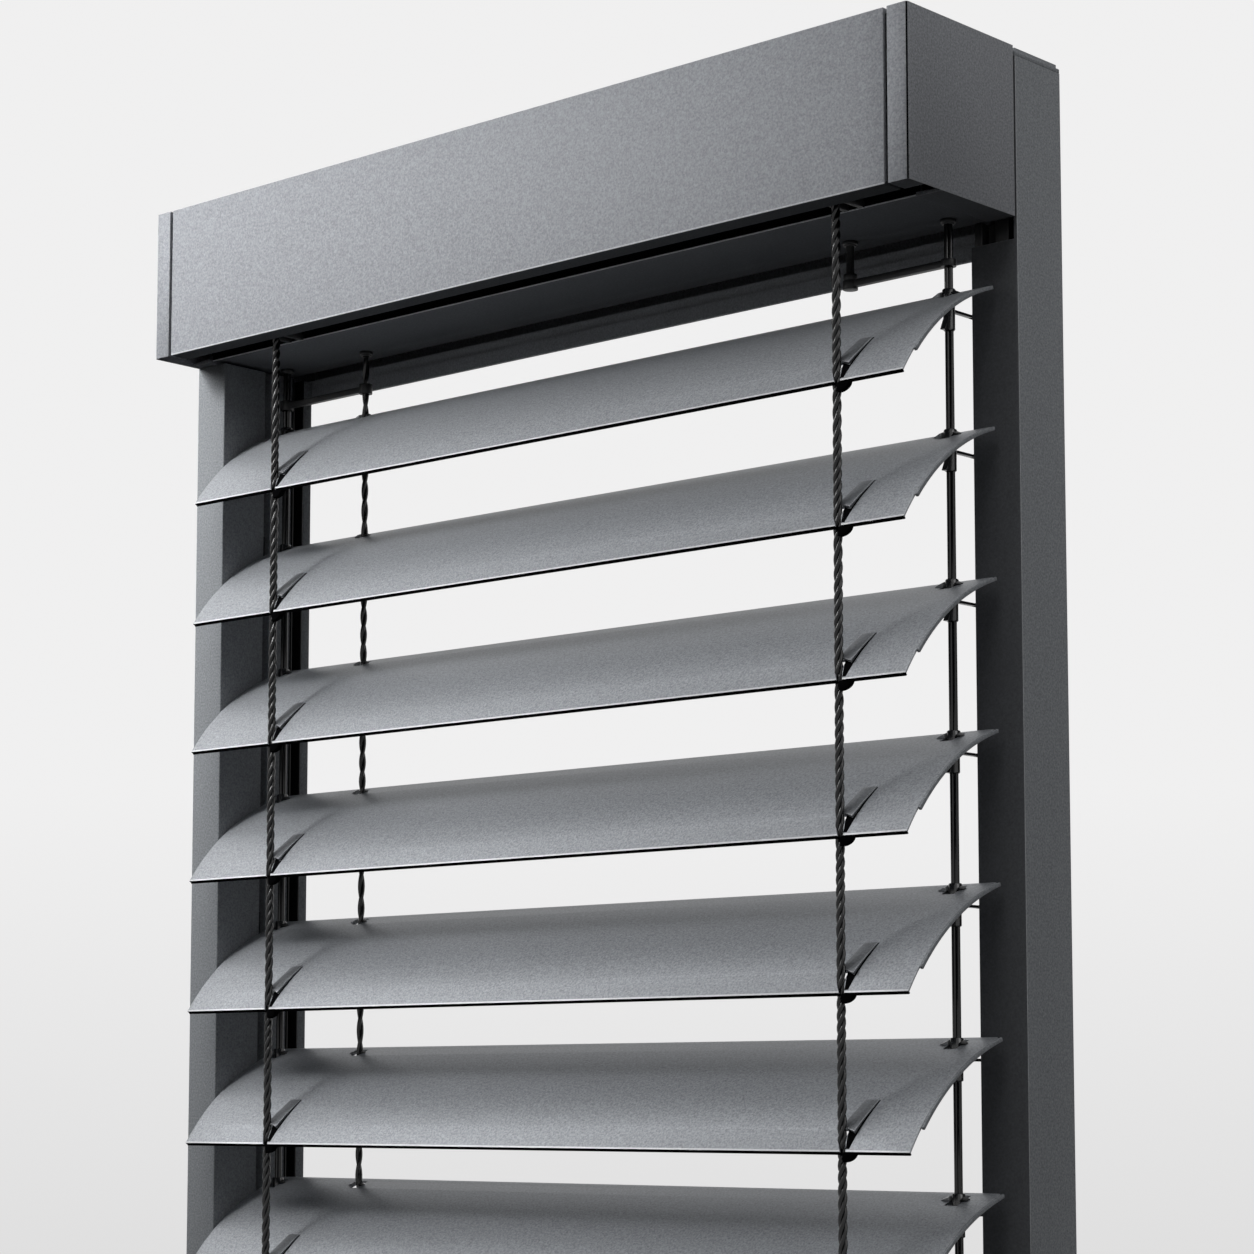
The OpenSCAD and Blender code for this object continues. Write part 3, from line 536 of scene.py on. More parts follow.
def makeWorld(look):
    # seen as a pale backdrop that darkens a little downwards, and lights only weakly
    world = bpy.data.worlds.new("studio")
    bpy.context.scene.world = world
    world.use_nodes = True
    tree = world.node_tree
    tree.nodes.clear()
    up = addNode(tree, "SeparateXYZ", {0: coordsNode(tree, "Generated")}).outputs["Z"]
    height = mathNode(tree, "MULTIPLY_ADD", up, 0.5, 0.5)
    strength = mathNode(tree, "MULTIPLY_ADD", height, look["high"] - look["low"], look["low"])
    lit = addNode(tree, "Background", {"Color": (*look["light"], 1), "Strength": strength})
    pale = mathNode(tree, "MULTIPLY_ADD", up, look["fade"], look["edge"])
    pale = mathNode(tree, "MAXIMUM", mathNode(tree, "MINIMUM", pale, 1.0), look["least"])
    shown = addNode(tree, "Background", {"Color": (*look["seen"], 1), "Strength": pale})
    mix = addNode(tree, "MixShader", {0: seenRays(tree), 1: lit.outputs[0], 2: shown.outputs[0]})
    addNode(tree, "OutputWorld", {"Surface": mix.outputs[0]})


makeWorld(backdrop)

floorLook = {"radius": 3.2, "rim": 0.6, "gap": 0.001, "pale": (0.72, 0.72, 0.72), "glow": 0.5, "lit": 0.12,
             "rough": 0.8, "specks": 40.0, "speck": 0.02}


def makeFloor(look):
    # pale paper disc just under the object
    deselectAll()
    bpy.ops.mesh.primitive_circle_add(vertices=96, radius=look["radius"], fill_type="NGON", location=(0, 0, 0))
    floor = begin("floor")
    slide((0, 0, cadBox[0].z - look["gap"]))
    bpy.ops.mesh.inset(thickness=look["rim"])
    objectMode()
    material, tree, shader = newMaterial("floorPaper")
    speck = noiseNode(tree, coordsNode(tree), look["specks"], 3.0)
    tone = mathNode(tree, "MULTIPLY_ADD", speck, look["speck"], 1 - look["speck"] / 2)
    seen = seenRays(tree)
    tone = mathNode(tree, "MULTIPLY", tone, mathNode(tree, "MULTIPLY_ADD", seen, 1.0 - look["lit"], look["lit"]))
    glow = scaleColour(tree, (1, 1, 1), mathNode(tree, "MULTIPLY", seen, look["glow"]))
    feed(tree, shader, {"Roughness": look["rough"], "Base Color": scaleColour(tree, look["pale"], tone),
                        "Emission Color": glow, "Emission Strength": 1.0})
    floor.data.materials.append(material)


makeFloor(floorLook)
bpy.context.scene.view_settings.view_transform = "Standard"
print("camera, lamps and floor ready")

# sizes shared by the pieces
slatLow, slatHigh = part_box("slat_1")
pivot = Vector(joints["tilt"]["pos_m"])
pivotZ = {i: joints["tilt" if i == 1 else f"tilt_{i}"]["pos_m"][2] for i in slatNumbers}
toSlat = {i: (0, 0, pivotZ[i] - pivotZ[1]) for i in slatNumbers}
slatShape = inMm({"chord": 80, "crown": 7, "thick": 1, "toPivot": 72, "notch": 2.2, "cutout": 3.4,
                  "cutFrom": 66, "cutTo": 76.6})
slatSlope, slatSteps = math.radians(36.5), 32
arcRadius = (slatShape["chord"] ** 2 / 4 + slatShape["crown"] ** 2) / (2 * slatShape["crown"])


def middleX(node):
    low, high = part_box(node)
    return (low.x + high.x) / 2


frontX = [middleX("front_cord_left"), middleX("front_cord_right")]
rearX = {key: middleX(f"rear_cord_{key}") for key in ("left", "inner", "right")}


def rise(s):
    # height of the slat's middle above its chord
    half = slatShape["chord"] / 2
    return math.sqrt(arcRadius ** 2 - (s - half) ** 2) - (arcRadius - slatShape["crown"])


def toFirstSlat(piece):
    # from the flat chord frame to the first slat's place
    editMode()
    selectWhole()
    slide((0, -slatShape["toPivot"], -rise(slatShape["toPivot"])))
    swing(-slatSlope)
    slide(pivot)
    objectMode()


rearCut = [slatShape["cutout"], slatShape["cutFrom"], slatShape["cutTo"]]
blade = {"holes": [[rearX["left"], *rearCut], [rearX["right"], *rearCut],
                   [rearX["inner"], 2.6 * mm, 68 * mm, 76 * mm],
                   [frontX[0], slatShape["notch"], -1 * mm, 10.6 * mm],
                   [frontX[1], slatShape["notch"], -1 * mm, 10.6 * mm]],
         "near": 4 * mm, "corner": 2.6 * mm, "edge": 0.2 * mm, "rim": 0.9 * mm,
         "lean": [4.2 * mm, 2.8 * mm, 6.5 * mm]}  # lean: shift of the notch's left and right side, and how deep
paintedEdgeFaces = {}


def makeSlat():
    # a curved sheet with holes and notches for the cords
    piece = startEdge("slat_blade_1", (slatLow.x, 0, 0), (slatHigh.x, 0, 0))
    sweep = 2 * math.asin(slatShape["chord"] / 2 / arcRadius)
    bpy.ops.mesh.spin(steps=slatSteps, angle=sweep, axis=(1, 0, 0),
                      center=(0, slatShape["chord"] / 2, slatShape["crown"] - arcRadius))
    faceOut(piece, (0, 0, 1))
    for x, half, low, high in blade["holes"]:
        for side in (-half, half):
            cutAt((x + side, 0, 0), (1, 0, 0))
    for x, half, low, high in blade["holes"]:
        for s in (low, high):
            if pick(piece, "FACE", lambda p: abs(p.x - x) < half and abs(p.y - s) < blade["near"]):
                bpy.ops.mesh.bisect(plane_co=(0, s, 0), plane_no=(0, 1, 0))
        pick(piece, "FACE", lambda p: abs(p.x - x) < half and low < p.y < high)
        bpy.ops.mesh.delete(type="FACE")
    cutAt((0, blade["rim"], 0), (0, 1, 0))
    work = bmesh.from_edit_mesh(piece.data)
    left, right, deep = blade["lean"]
    for x in frontX:  # the notch leans to the right towards the edge
        for v in work.verts:
            if abs(abs(v.co.x - x) - slatShape["notch"]) < 0.05 * mm and v.co.y < deep:
                v.co.x += (left if v.co.x < x else right) * (1 - v.co.y / deep)
    bmesh.update_edit_mesh(piece.data)
    far = slatShape["chord"]
    pick(piece, "VERT", lambda p: p.y > far - 0.1 * mm
         and (p.x > slatHigh.x - 0.1 * mm or p.x < slatLow.x + 0.1 * mm))
    bpy.ops.mesh.bevel(offset=blade["corner"], segments=5, affect="VERTICES")
    finishWith(piece, wall=slatShape["thick"], edge=blade["edge"], offset=0.0, smooth=40)
    for f in piece.data.polygons:
        if f.center.y < blade["rim"] and f.normal.z > 0.55:  # painted highlight on the front edge's upper bevel
            paintedEdgeFaces[f.index] = 1
        elif f.center.y < blade["rim"] and (f.normal.y < -0.5 or f.normal.z < 0):  # painted shade on the edge face below it
            paintedEdgeFaces[f.index] = 2
    toFirstSlat(piece)
    return piece


def copiesOf(first, label):
    # the same piece for each slat, each with its own mesh
    return {i: first if i == 1 else movedCopy(first, f"{label}_{i}", toSlat[i]) for i in slatNumbers}


for i, piece in copiesOf(makeSlat(), "slat_blade").items():
    place(piece, f"tilting_slat_{i}", "slat_coat", ["slatCoat", "slatRim", "deepBlack"], f"slat_{i}")
    for index, finish in paintedEdgeFaces.items():
        piece.data.polygons[index].material_index = finish
print("slats ready")

bead = inMm({"width": 1.4, "from": 12, "thick": 1.7, "edge": 0.3, "corner": 1.1})
beadSteps = 28


def makeBead():
    # raised bead along the right end of the slat, following its curve
    far = slatShape["chord"] - 0.01 * mm
    stops = [bead["from"] + (far - bead["from"]) * k / beadSteps for k in range(beadSteps + 1)]
    end = slatHigh.x + bead["width"]
    level = rise(stops[0]) + slatShape["thick"] / 2
    piece = startEdge("slat_bead_1", (slatHigh.x, stops[0], level), (end, stops[0], level))
    for a, b in zip(stops, stops[1:]):
        pull((0, b - a, rise(b) - rise(a)))
    faceOut(piece, (0, 0, 1))
    pick(piece, "VERT", lambda p: p.y > far - 0.1 * mm and p.x > end - 0.1 * mm)
    bpy.ops.mesh.bevel(offset=bead["corner"], segments=4, affect="VERTICES")
    toFirstSlat(piece)
    return finishWith(piece, wall=bead["thick"], edge=bead["edge"], steps=3, angle=60, smooth=40)


shade_lip = inMm({"tall": 1.0, "deep": 0.8, "clear": 0.1, "edge": 0.12, "inset": 0.3, "into": 0.2})


def makeShadeLip():
    # dark lip under the front edge, painted shade that widens the dark line there, left open at the notches
    opens = [slatLow.x + shade_lip["inset"]]
    for x in frontX:
        opens += [x - slatShape["notch"] + blade["lean"][0], x + slatShape["notch"] + blade["lean"][1]]
    opens.append(slatHigh.x - shade_lip["inset"])
    top = rise(shade_lip["deep"] / 2) - slatShape["thick"] / 2
    strips = []
    for k in range(0, len(opens), 2):
        strips.append(solidBlock("shade_lip", (opens[k], shade_lip["clear"], top - shade_lip["tall"]),
                                 (opens[k + 1], shade_lip["clear"] + shade_lip["deep"], top + shade_lip["into"]), shade_lip["edge"]))
    piece = joinAll("slat_shade_lip_1", strips)
    toFirstSlat(piece)
    return piece


tongue = inMm({"back": [2.4, 9.4, 27], "left": [-0.9, 10.8], "right": [6.6, 8], "raise": 1.3, "thick": 0.6,
               "edge": 0.14})
tongueRows = 10


def leaningStrip(name, x, left, right, raised, wall, **finish):
    # a strip on the slat between two slanted sides, each given as x and s at its back and at its front
    piece = startEdge(name, (0, 0, 0), (1 * mm, 0, 0))
    for k in range(tongueRows):
        pull((0, -1 * mm, 0))
    work = bmesh.from_edit_mesh(piece.data)
    for v in work.verts:
        share = -v.co.y / (1 * mm) / tongueRows
        back, front = left if v.co.x < 0.5 * mm else right
        s = back[1] + (front[1] - back[1]) * share
        v.co = Vector((x + back[0] + (front[0] - back[0]) * share, s, rise(s) + raised(share)))
    bmesh.update_edit_mesh(piece.data)
    faceOut(piece, (0, 0, 1))
    toFirstSlat(piece)
    return finishWith(piece, wall=wall, **finish)


def makeTongue(number):
    # lifted strip beside the notch, higher towards the edge
    top = slatShape["thick"] / 2 + tongue["thick"]
    x0, x1, back = tongue["back"]
    return leaningStrip(f"tongue_{number}", frontX[number], [(x0, back), tongue["left"]],
                        [(x1, back), tongue["right"]], lambda share: top + tongue["raise"] * share ** 1.5,
                        tongue["thick"], edge=tongue["edge"], angle=50)


slit_shade = inMm({"width": 0.5, "thick": 0.06, "mouth": [[2.0, 10.4], [7.2, 8.3], [6.4, 1.2], [4.5, 1.2]]})


def makeSlitShade(number):
    # painted shade along the slit beside the tongue, a thin dark strip on the slat
    top = slatShape["thick"] / 2 + slit_shade["thick"]
    back, front = (tongue["back"][1], tongue["back"][2]), tongue["right"]
    wide = slit_shade["width"]
    return leaningStrip(f"slit_{number}", frontX[number],
                        [(back[0] - wide, back[1]), (front[0] - wide, front[1])],
                        [(back[0] + wide, back[1]), (front[0] + wide, front[1])],
                        lambda share: top, slit_shade["thick"])


def makeMouthShade(number):
    # dark patch where the tongue leaves an opening, narrower towards the edge: partly the black clip below, partly
    # painted shade
    (x0, s0), (x1, s1), (x2, s2), (x3, s3) = slit_shade["mouth"]
    top = slatShape["thick"] / 2 + slit_shade["thick"]
    return leaningStrip(f"mouth_{number}", frontX[number], [(x0, s0), (x3, s3)], [(x1, s1), (x2, s2)],
                        lambda share: top, slit_shade["thick"])


hook = inMm({"out": 6.4, "down": 4.2, "from": 0.4, "to": 3.4, "edge": 0.3, "right": 2.6, "sink": 0.05,
             "under": 1})


def makeHook(number):
    # solid quarter-round lug under the front edge
    deselectAll()
    bpy.ops.mesh.primitive_circle_add(vertices=32, radius=1, fill_type="NGON")
    piece = begin(f"hook_{number}")
    bpy.ops.mesh.bisect(plane_co=(0, 0, 0), plane_no=(1, 0, 0), clear_inner=True)
    selectWhole()
    bpy.ops.mesh.bisect(plane_co=(0, 0, 0), plane_no=(0, 1, 0), clear_outer=True)
    selectWhole()
    bpy.ops.transform.resize(value=(hook["out"], hook["down"], 1), center_override=(0, 0, 0))
    swing(-math.pi / 2)
    pull((0, hook["to"] - hook["from"], 0))
    selectWhole()
    swing(slatSlope)  # so that it hangs upright once it is on the slat
    slide((frontX[number] + hook["right"], hook["from"],
           -slatShape["thick"] / 2 - hook["sink"] + rise(hook["under"])))
    closeUp()
    toFirstSlat(piece)
    return finishWith(piece, edge=hook["edge"], angle=50)


footShape = inMm({"half": 4.8, "from": 64.8, "to": 77.8, "below": 1.5, "above": 0.04, "edge": 0.15})


def makeBearing(key):
    # ring frame under the slat that turns on the carrier's pins
    x = rearX[key]
    s0, s1, s2, s3 = footShape["from"], slatShape["cutFrom"], slatShape["cutTo"], footShape["to"]
    outer, inner = footShape["half"], slatShape["cutout"]
    piece = startEdge(f"bearing_{key}", (x - outer, s0, 0), (x + outer, s0, 0))
    for a, b in ((s0, s1), (s1, s2), (s2, s3)):
        pull((0, b - a, 0))
    cutAt((x - inner, 0, 0), (1, 0, 0))
    cutAt((x + inner, 0, 0), (1, 0, 0))
    pick(piece, "FACE", lambda p: abs(p.x - x) < inner and s1 < p.y < s2)
    bpy.ops.mesh.delete(type="FACE")
    work = bmesh.from_edit_mesh(piece.data)
    for v in work.verts:
        v.co.z = rise(v.co.y) + slatShape["thick"] / 2 + footShape["above"]
    bmesh.update_edit_mesh(piece.data)
    faceOut(piece, (0, 0, 1))
    toFirstSlat(piece)
    return finishWith(piece, wall=slatShape["thick"] + footShape["below"], edge=footShape["edge"], angle=50)


tailShape = inMm({"outerNear": 3.3, "innerNear": 2.2, "back": 0.5, "above": 0.05, "tip": 0.25, "edge": 0.3})
tailNarrow = 0.55  # width at the far end


def makeTail(name, side, size):
    # small ramp beside the cord its name ends with, in millimetres; side is -1 for left
    key = name.split("_")[1]
    length, tall, wide = inMm(size)
    x = rearX[key]
    near = tailShape["innerNear" if key == "inner" else "outerNear"]
    middle = slatShape["toPivot"] - tailShape["back"]
    base = rise(middle) + slatShape["thick"] / 2 + tailShape["above"]
    deselectAll()
    bpy.ops.mesh.primitive_cube_add(size=1)
    piece = begin(name)
    bpy.ops.transform.resize(value=(length, wide, tall))
    slide((x + side * (near + length / 2), middle, base + tall / 2))
    work = bmesh.from_edit_mesh(piece.data)
    for v in work.verts:  # low and narrow at the far end, and laid on the slat's curve
        out = abs(v.co.x - x) > near + length / 2
        if out and v.co.z > base + tall / 2:
            v.co.z = base + tailShape["tip"]
        if out:
            v.co.y = middle + (v.co.y - middle) * tailNarrow
        v.co.z += rise(v.co.y) - rise(middle)
    bmesh.update_edit_mesh(piece.data)
    toFirstSlat(piece)
    return finishWith(piece, edge=tailShape["edge"], steps=3, angle=30)


collar = inMm({"radius": 3.2, "steps": [0.45, 0.5, 0.6], "sink": 0.1, "wall": 0.5, "edge": 0.12})
collarSides, collarShares, collarLean = 28, (0.90, 0.90, 0.93), math.radians(15.8)


def makeCollar():
    # low dark collar where the inner rear cord leaves the slat
    deselectAll()
    bpy.ops.mesh.primitive_circle_add(vertices=collarSides, radius=collar["radius"])
    piece = begin("collar_inner")
    for share, up in zip(collarShares, collar["steps"]):
        pull((0, 0, up))
        bpy.ops.transform.resize(value=(share, share, 1))
    selectWhole()
    bpy.ops.mesh.normals_make_consistent(inside=False)
    swing(collarLean)
    slide((rearX["inner"], slatShape["toPivot"],
           rise(slatShape["toPivot"]) + slatShape["thick"] / 2 - collar["sink"]))
    toFirstSlat(piece)
    return finishWith(piece, wall=collar["wall"], edge=collar["edge"], angle=50, smooth=50)


# label: slot, look and the parts it joins
slatParts = {
    # painted shade: the bead belongs to the slat's coat but takes the darker profile coat
    "slat_bead": ["slat_coat", "profileCoat", [makeBead()]],
    "slat_shade_lip": ["black_plastic", "deepBlack", [makeShadeLip()]],
    # the tongues carry painted shade and a painted highlight on their edges
    "slat_tongues": ["slat_coat", "tongueCoat", [makeTongue(0), makeTongue(1)]],
    # thin dark strips of painted shade beside the tongues and in their openings
    "slat_slit_shades": ["black_plastic", "deepBlack", [makeSlitShade(0), makeSlitShade(1), makeMouthShade(0), makeMouthShade(1)]],
    "slat_hooks": ["black_plastic", "deepBlack", [makeHook(0), makeHook(1)]],
    "slat_frames": ["slat_coat", "slatCoat", [makeBearing("left"), makeBearing("right")]],
    # the collar is black plastic; the black humps on the right of each cord foot are painted shade of its shaded
    # side
    "slat_feet": ["black_plastic", "blackPlastic", [
        makeCollar(), makeTail("hump_right", 1, [2.6, 1.4, 3.6]), makeTail("hump_left", 1, [2.6, 1.4, 3.6]),
        makeTail("hump_inner", 1, [2.2, 1.1, 3])]],
    # painted light: the pale tails on the left of each cord foot are its lit side
    "slat_tails": ["steel", "paleTail", [
        makeTail("tail_right", -1, [4.6, 1.9, 3]), makeTail("tail_left", -1, [4.6, 1.9, 3]),
        makeTail("tail_inner", -1, [3.6, 1.3, 2.6])]],
}
for label, (slotName, look, made) in slatParts.items():
    for i, piece in copiesOf(joinAll(f"{label}_1", made), label).items():
        place(piece, f"tilting_slat_{i}", slotName, look, f"slat_fittings_{i}")
print("slat fittings ready")

anchorTop = pivot.z  # the rear cords shorten below the first pivot
notchPoint = Vector(joints["cord_swing"]["pos_m"])


def strandPoints(route, radius, turn, phase, spacing):
    # points of one strand that winds round a route lying in a plane of constant x
    lengths = [0.0]
    for a, b in zip(route, route[1:]):
        lengths.append(lengths[-1] + (b - a).length)
    total = lengths[-1]
    count = max(2, int(total / spacing))
    points = []
    for k in range(count + 1):
        d = total * k / count
        j = min(len(route) - 2, max(i for i in range(len(lengths)) if lengths[i] <= d + 1e-9))
        a, b = route[j], route[j + 1]
        along = (d - lengths[j]) / max(1e-9, lengths[j + 1] - lengths[j])
        centre = a.lerp(b, along)
        tangent = (b - a).normalized()
        side = Vector((1, 0, 0))
        other = tangent.cross(side)
        angle = phase + turn(d)
        points.append(centre + radius * (math.cos(angle) * side + math.sin(angle) * other))
    return points


def cordMesh(name, route, look, start=0.0):
    # two or three strands wound together, made as curves and turned into one mesh
    parts = []
    for n in range(look["strands"]):
        phase = look["phase"] + 2 * math.pi * n / look["strands"]
        data = bpy.data.curves.new(f"{name}_strand", "CURVE")
        data.dimensions = "3D"
        data.bevel_depth = look["strand"]
        data.bevel_resolution = 3
        data.use_fill_caps = True
        line = data.splines.new("POLY")
        points = strandPoints(route, look["lay"], lambda d: look["wind"](start + d), phase, look["spacing"])
        line.points.add(len(points) - 1)
        for p, q in zip(line.points, points):
            p.co = (*q, 1)
        made = bpy.data.objects.new(f"{name}_strand", data)
        bpy.context.scene.collection.objects.link(made)
        useOnly(made)
        bpy.ops.object.convert(target="MESH")
        parts.append(bpy.context.object)
    piece = joinAll(name, parts)
    editMode()
    selectWhole()
    bpy.ops.mesh.remove_doubles(threshold=0.000001)
    bpy.ops.mesh.normals_make_consistent(inside=False)
    objectMode()
    bpy.ops.object.shade_smooth_by_angle(angle=math.radians(60))
    return piece


def evenTwist(turnLength, uneven=0.0, beat=0.11):
    return lambda d: 2 * math.pi * d / turnLength + uneven * math.sin(2 * math.pi * d / beat)


cordLooks = {
    "front": {"strands": 3, "strand": 1.0 * mm, "lay": 1.02 * mm, "wind": evenTwist(17 * mm, 0.5, 0.057),
              "phase": 0.4, "spacing": 1.3 * mm},
    "inner": {"strands": 2, "strand": 1.12 * mm, "lay": 0.66 * mm, "wind": evenTwist(21 * mm, 0.5, 0.083),
              "phase": 0.9, "spacing": 1.6 * mm},
    "outer": {"strands": 2, "strand": 1.02 * mm, "lay": 0.88 * mm, "wind": evenTwist(6.0, 0.12, 0.131),
              "phase": -0.73, "spacing": 3 * mm},
}
cordWay = inMm({"bend": 6, "half": 1.8, "frontEnd": 4, "rearEnd": 0.2, "bendsBelow": -42})
bendSteps, runSteps = 8, 4


def frontRoute(x, box, runZ):
    # from the tilt drum over the roller and down to the first slat's notch
    y = notchPoint.y
    r = cordWay["bend"]
    far = box[1].y
    points = [Vector((x, far - (far - y - r) * k / runSteps, runZ)) for k in range(runSteps + 1)]
    for k in range(1, bendSteps + 1):
        turn = math.pi / 2 * k / bendSteps
        points.append(Vector((x, y + r - r * math.sin(turn), runZ - r + r * math.cos(turn))))
    points.append(Vector((x, y, notchPoint.z)))
    return points


def routeLength(route):
    return sum((b - a).length for a, b in zip(route, route[1:]))


def makeCordPair(kind, key, upper, lower, look):
    # the part above the point where the cord starts to shorten, and the part below it
    pair = (cordMesh(f"{kind}_cord_upper_{key}", upper, look),
            cordMesh(f"{kind}_cord_lower_{key}", lower, look, routeLength(upper)))
    for piece in pair:
        piece.data.materials.append(coats["cordSheath"])
        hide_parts(f"{kind}_cord_{key}")
    return pair


for key, x in (("left", frontX[0]), ("right", frontX[1])):
    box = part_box(f"front_cord_{key}")
    y = notchPoint.y
    top, low = makeCordPair("front", key, frontRoute(x, box, box[1].z - cordWay["half"]),
                            [Vector((x, y, notchPoint.z)), Vector((x, y, box[0].z + cordWay["frontEnd"]))],
                            cordLooks["front"])
    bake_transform(top)
    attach(low, "front_cords")
    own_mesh(low)

for key, x in rearX.items():
    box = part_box(f"rear_cord_{key}")
    y = pivot.y
    top, low = makeCordPair("rear", key, [Vector((x, y, box[1].z)), Vector((x, y, anchorTop))],
                            [Vector((x, y, anchorTop)), Vector((x, y, box[0].z + cordWay["rearEnd"]))],
                            cordLooks["inner" if key == "inner" else "outer"])
    for piece in (top, low):
        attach(piece, "frame")
    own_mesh(low)
print("cords ready")

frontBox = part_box("front_cover")
halfWide = cadBox[1].x
frontY = cadBox[0].y
topZ = frontBox[1].z
lowZ = frontBox[0].z
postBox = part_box("right_guide_post")

coverShape = inMm({"lip": 11.5, "return": 6, "wall": 2, "edge": 0.3, "gap": 0.2, "postGap": 0.3,
                   "rolled": 0.75})


def makeCover():
    # one sheet folded along a path of y and z: top, front, lip and return
    lipY = frontY + coverShape["lip"]
    path = [(0, topZ), (frontY, topZ), (frontY, lowZ), (lipY, lowZ), (lipY, lowZ + coverShape["return"])]
    piece = startEdge("cover_sheet", (frontBox[0].x + coverShape["gap"], *path[0]),
                      (frontBox[1].x - coverShape["gap"], *path[0]))
    for a, b in zip(path, path[1:]):
        pull((0, b[0] - a[0], b[1] - a[1]))
    faceOut(piece, (0, -1, 0))
    gap = coverShape["postGap"]
    cutAt((postBox[0].x - gap, 0, 0), (1, 0, 0))  # the right post takes the rear corner of the top
    cutAt((0, postBox[0].y - gap, 0), (0, 1, 0))
    pick(piece, "FACE", lambda p: p.x > postBox[0].x - gap and p.y > postBox[0].y - gap)
    bpy.ops.mesh.delete(type="FACE")
    finishWith(piece, wall=coverShape["wall"], edge=coverShape["edge"], steps=3)
    editMode()
    cutAt((0, 0, lowZ + coverShape["rolled"]), (0, 0, 1))  # the lowest part of the front gets a painted highlight
    objectMode()
    return piece


cover = makeCover()
place(cover, "frame", "cover_coat", ["coverCoat", "paintedUnderShade", "paintedEdgeHighlight"], "front_cover")
# painted highlight along the lowest strip of the front
paint(cover, 2, lambda c, n: c.z < lowZ + coverShape["rolled"] and c.y < frontY + 0.4 * mm and n.y < -0.3)
# painted shade on the underside and inside the lip
paint(cover, 1, lambda c, n: n.z < -0.75 or c.y > frontY + 1 * mm and c.z < lowZ + coverShape["return"] + 1 * mm)

capShape = inMm({"strip": 10.5, "lip": 11.5, "flange": 14, "flangeFrom": 24, "wall": 2, "edge": 0.5,
                 "corner": 1.5, "clear": 1.6})


def makeCap(name, side, depth):
    # side plate with folded returns: strip at the front, top, lip and flange below
    x = side * halfWide
    near = 0.01 * mm
    piece = startEdge(name, (x, frontY, lowZ), (x, frontY + depth, lowZ))
    pull((0, 0, topZ - lowZ))
    lipY, flangeY = frontY + capShape["lip"], frontY + capShape["flangeFrom"]
    for y in (lipY, flangeY):
        cutAt((0, y, 0), (0, 1, 0))
    strip, flange = -side * capShape["strip"], -side * capShape["flange"]
    for width, test in (
            (strip, lambda p: p.z > topZ - near),
            (strip, lambda p: p.y < frontY + near and abs(p.x - x) < near and abs(p.z) < topZ - 1 * mm),
            (strip, lambda p: p.z < lowZ + near and abs(p.x - x) < near and p.y < lipY),
            (flange, lambda p: p.z < lowZ + near and abs(p.x - x) < near and p.y > flangeY)):
        pick(piece, "EDGE", test)
        pull((width, 0, 0))
    faceOut(piece, (side, 0, 0))
    pick(piece, "EDGE", lambda p: abs(p.x - x) < near and p.y < frontY + near)
    bpy.ops.mesh.bevel(offset=capShape["corner"], segments=3, affect="EDGES")
    return finishWith(piece, wall=capShape["wall"], edge=capShape["edge"])


capRight = makeCap("cap_shell_right", 1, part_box("end_cap_right")[1].y - frontY - capShape["clear"])
capLeft = makeCap("cap_shell_left", -1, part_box("end_cap_left")[1].y - frontY)
# the side plates take a darker copy of the cover coat, painted shade
for cap, node in ((capRight, "end_cap_right"), (capLeft, "end_cap_left")):
    place(cap, "frame", "cap_coat", ["capCoat", "paintedRailShade", "deepBlack", "coverCoat"], node)
    paint(cap, 1, lambda c, n: c.z < lowZ + capShape["wall"] + 0.2 * mm and n.z < -0.75)  # painted shade on the underside
    paint(cap, 3, lambda c, n: c.y < frontY + 0.5 * mm and n.y < -0.9)  # the front strip keeps the cover's coat, then painted shade in its rounded corner
    paint(cap, 2, lambda c, n: c.y < frontY + 1.3 * mm and n.y < -0.3 and 0.3 < abs(n.x) < 0.97)

# node: name of its piece and how far its edges are broken, in millimetres
softParts = {
    "back_rail": ["back_rail_profile", 0.4], "head_rail": ["head_rail_channel", 0.35],
    "left_front_post": ["left_post_tube", 0.6], "left_guide_rail": ["left_rail_profile", 0.4],
    "right_guide_post": ["right_post_profile", 0.8], "right_post_cap": ["right_post_lid", 0.35],
    "post_plugs": ["post_end_plugs", 0.5], "post_spacers": ["post_clips", 0.4],
    "groove_liners": ["groove_seals", 0.12], "post_joint_blocks": ["post_joint", 0.5],
    "wall_standoffs": ["wall_feet", 0.6], "cord_collars": ["cord_bushes", 0.25],
    "hanger_rod": ["hanger_pin", 0.25], "bridge_bars": ["bridge_clips", 0.35],
    "cap_brackets": ["cap_angles", 0.3], "rail_brackets": ["rail_saddles", 0.3],
    "bracket_screws": ["saddle_screws", 0.2], "roller_brackets": ["roller_cheeks", 0.3],
    "cord_rollers": ["roller_wheels", 0.2], "bearing_blocks": ["shaft_bearings", 0.5],
    "motor": ["motor_tube", 0.6], "lift_spools": ["winding_spools", 0.25],
    "tilt_drums": ["winding_drums", 0.25], "drive_shaft": ["turning_shaft", 0.2],
    "carriers_9": ["base_blocks", 0.35], "bottom_rail": ["base_profile", 0.3],
    "bottom_rail_caps": ["base_profile_caps", 0.4],
}
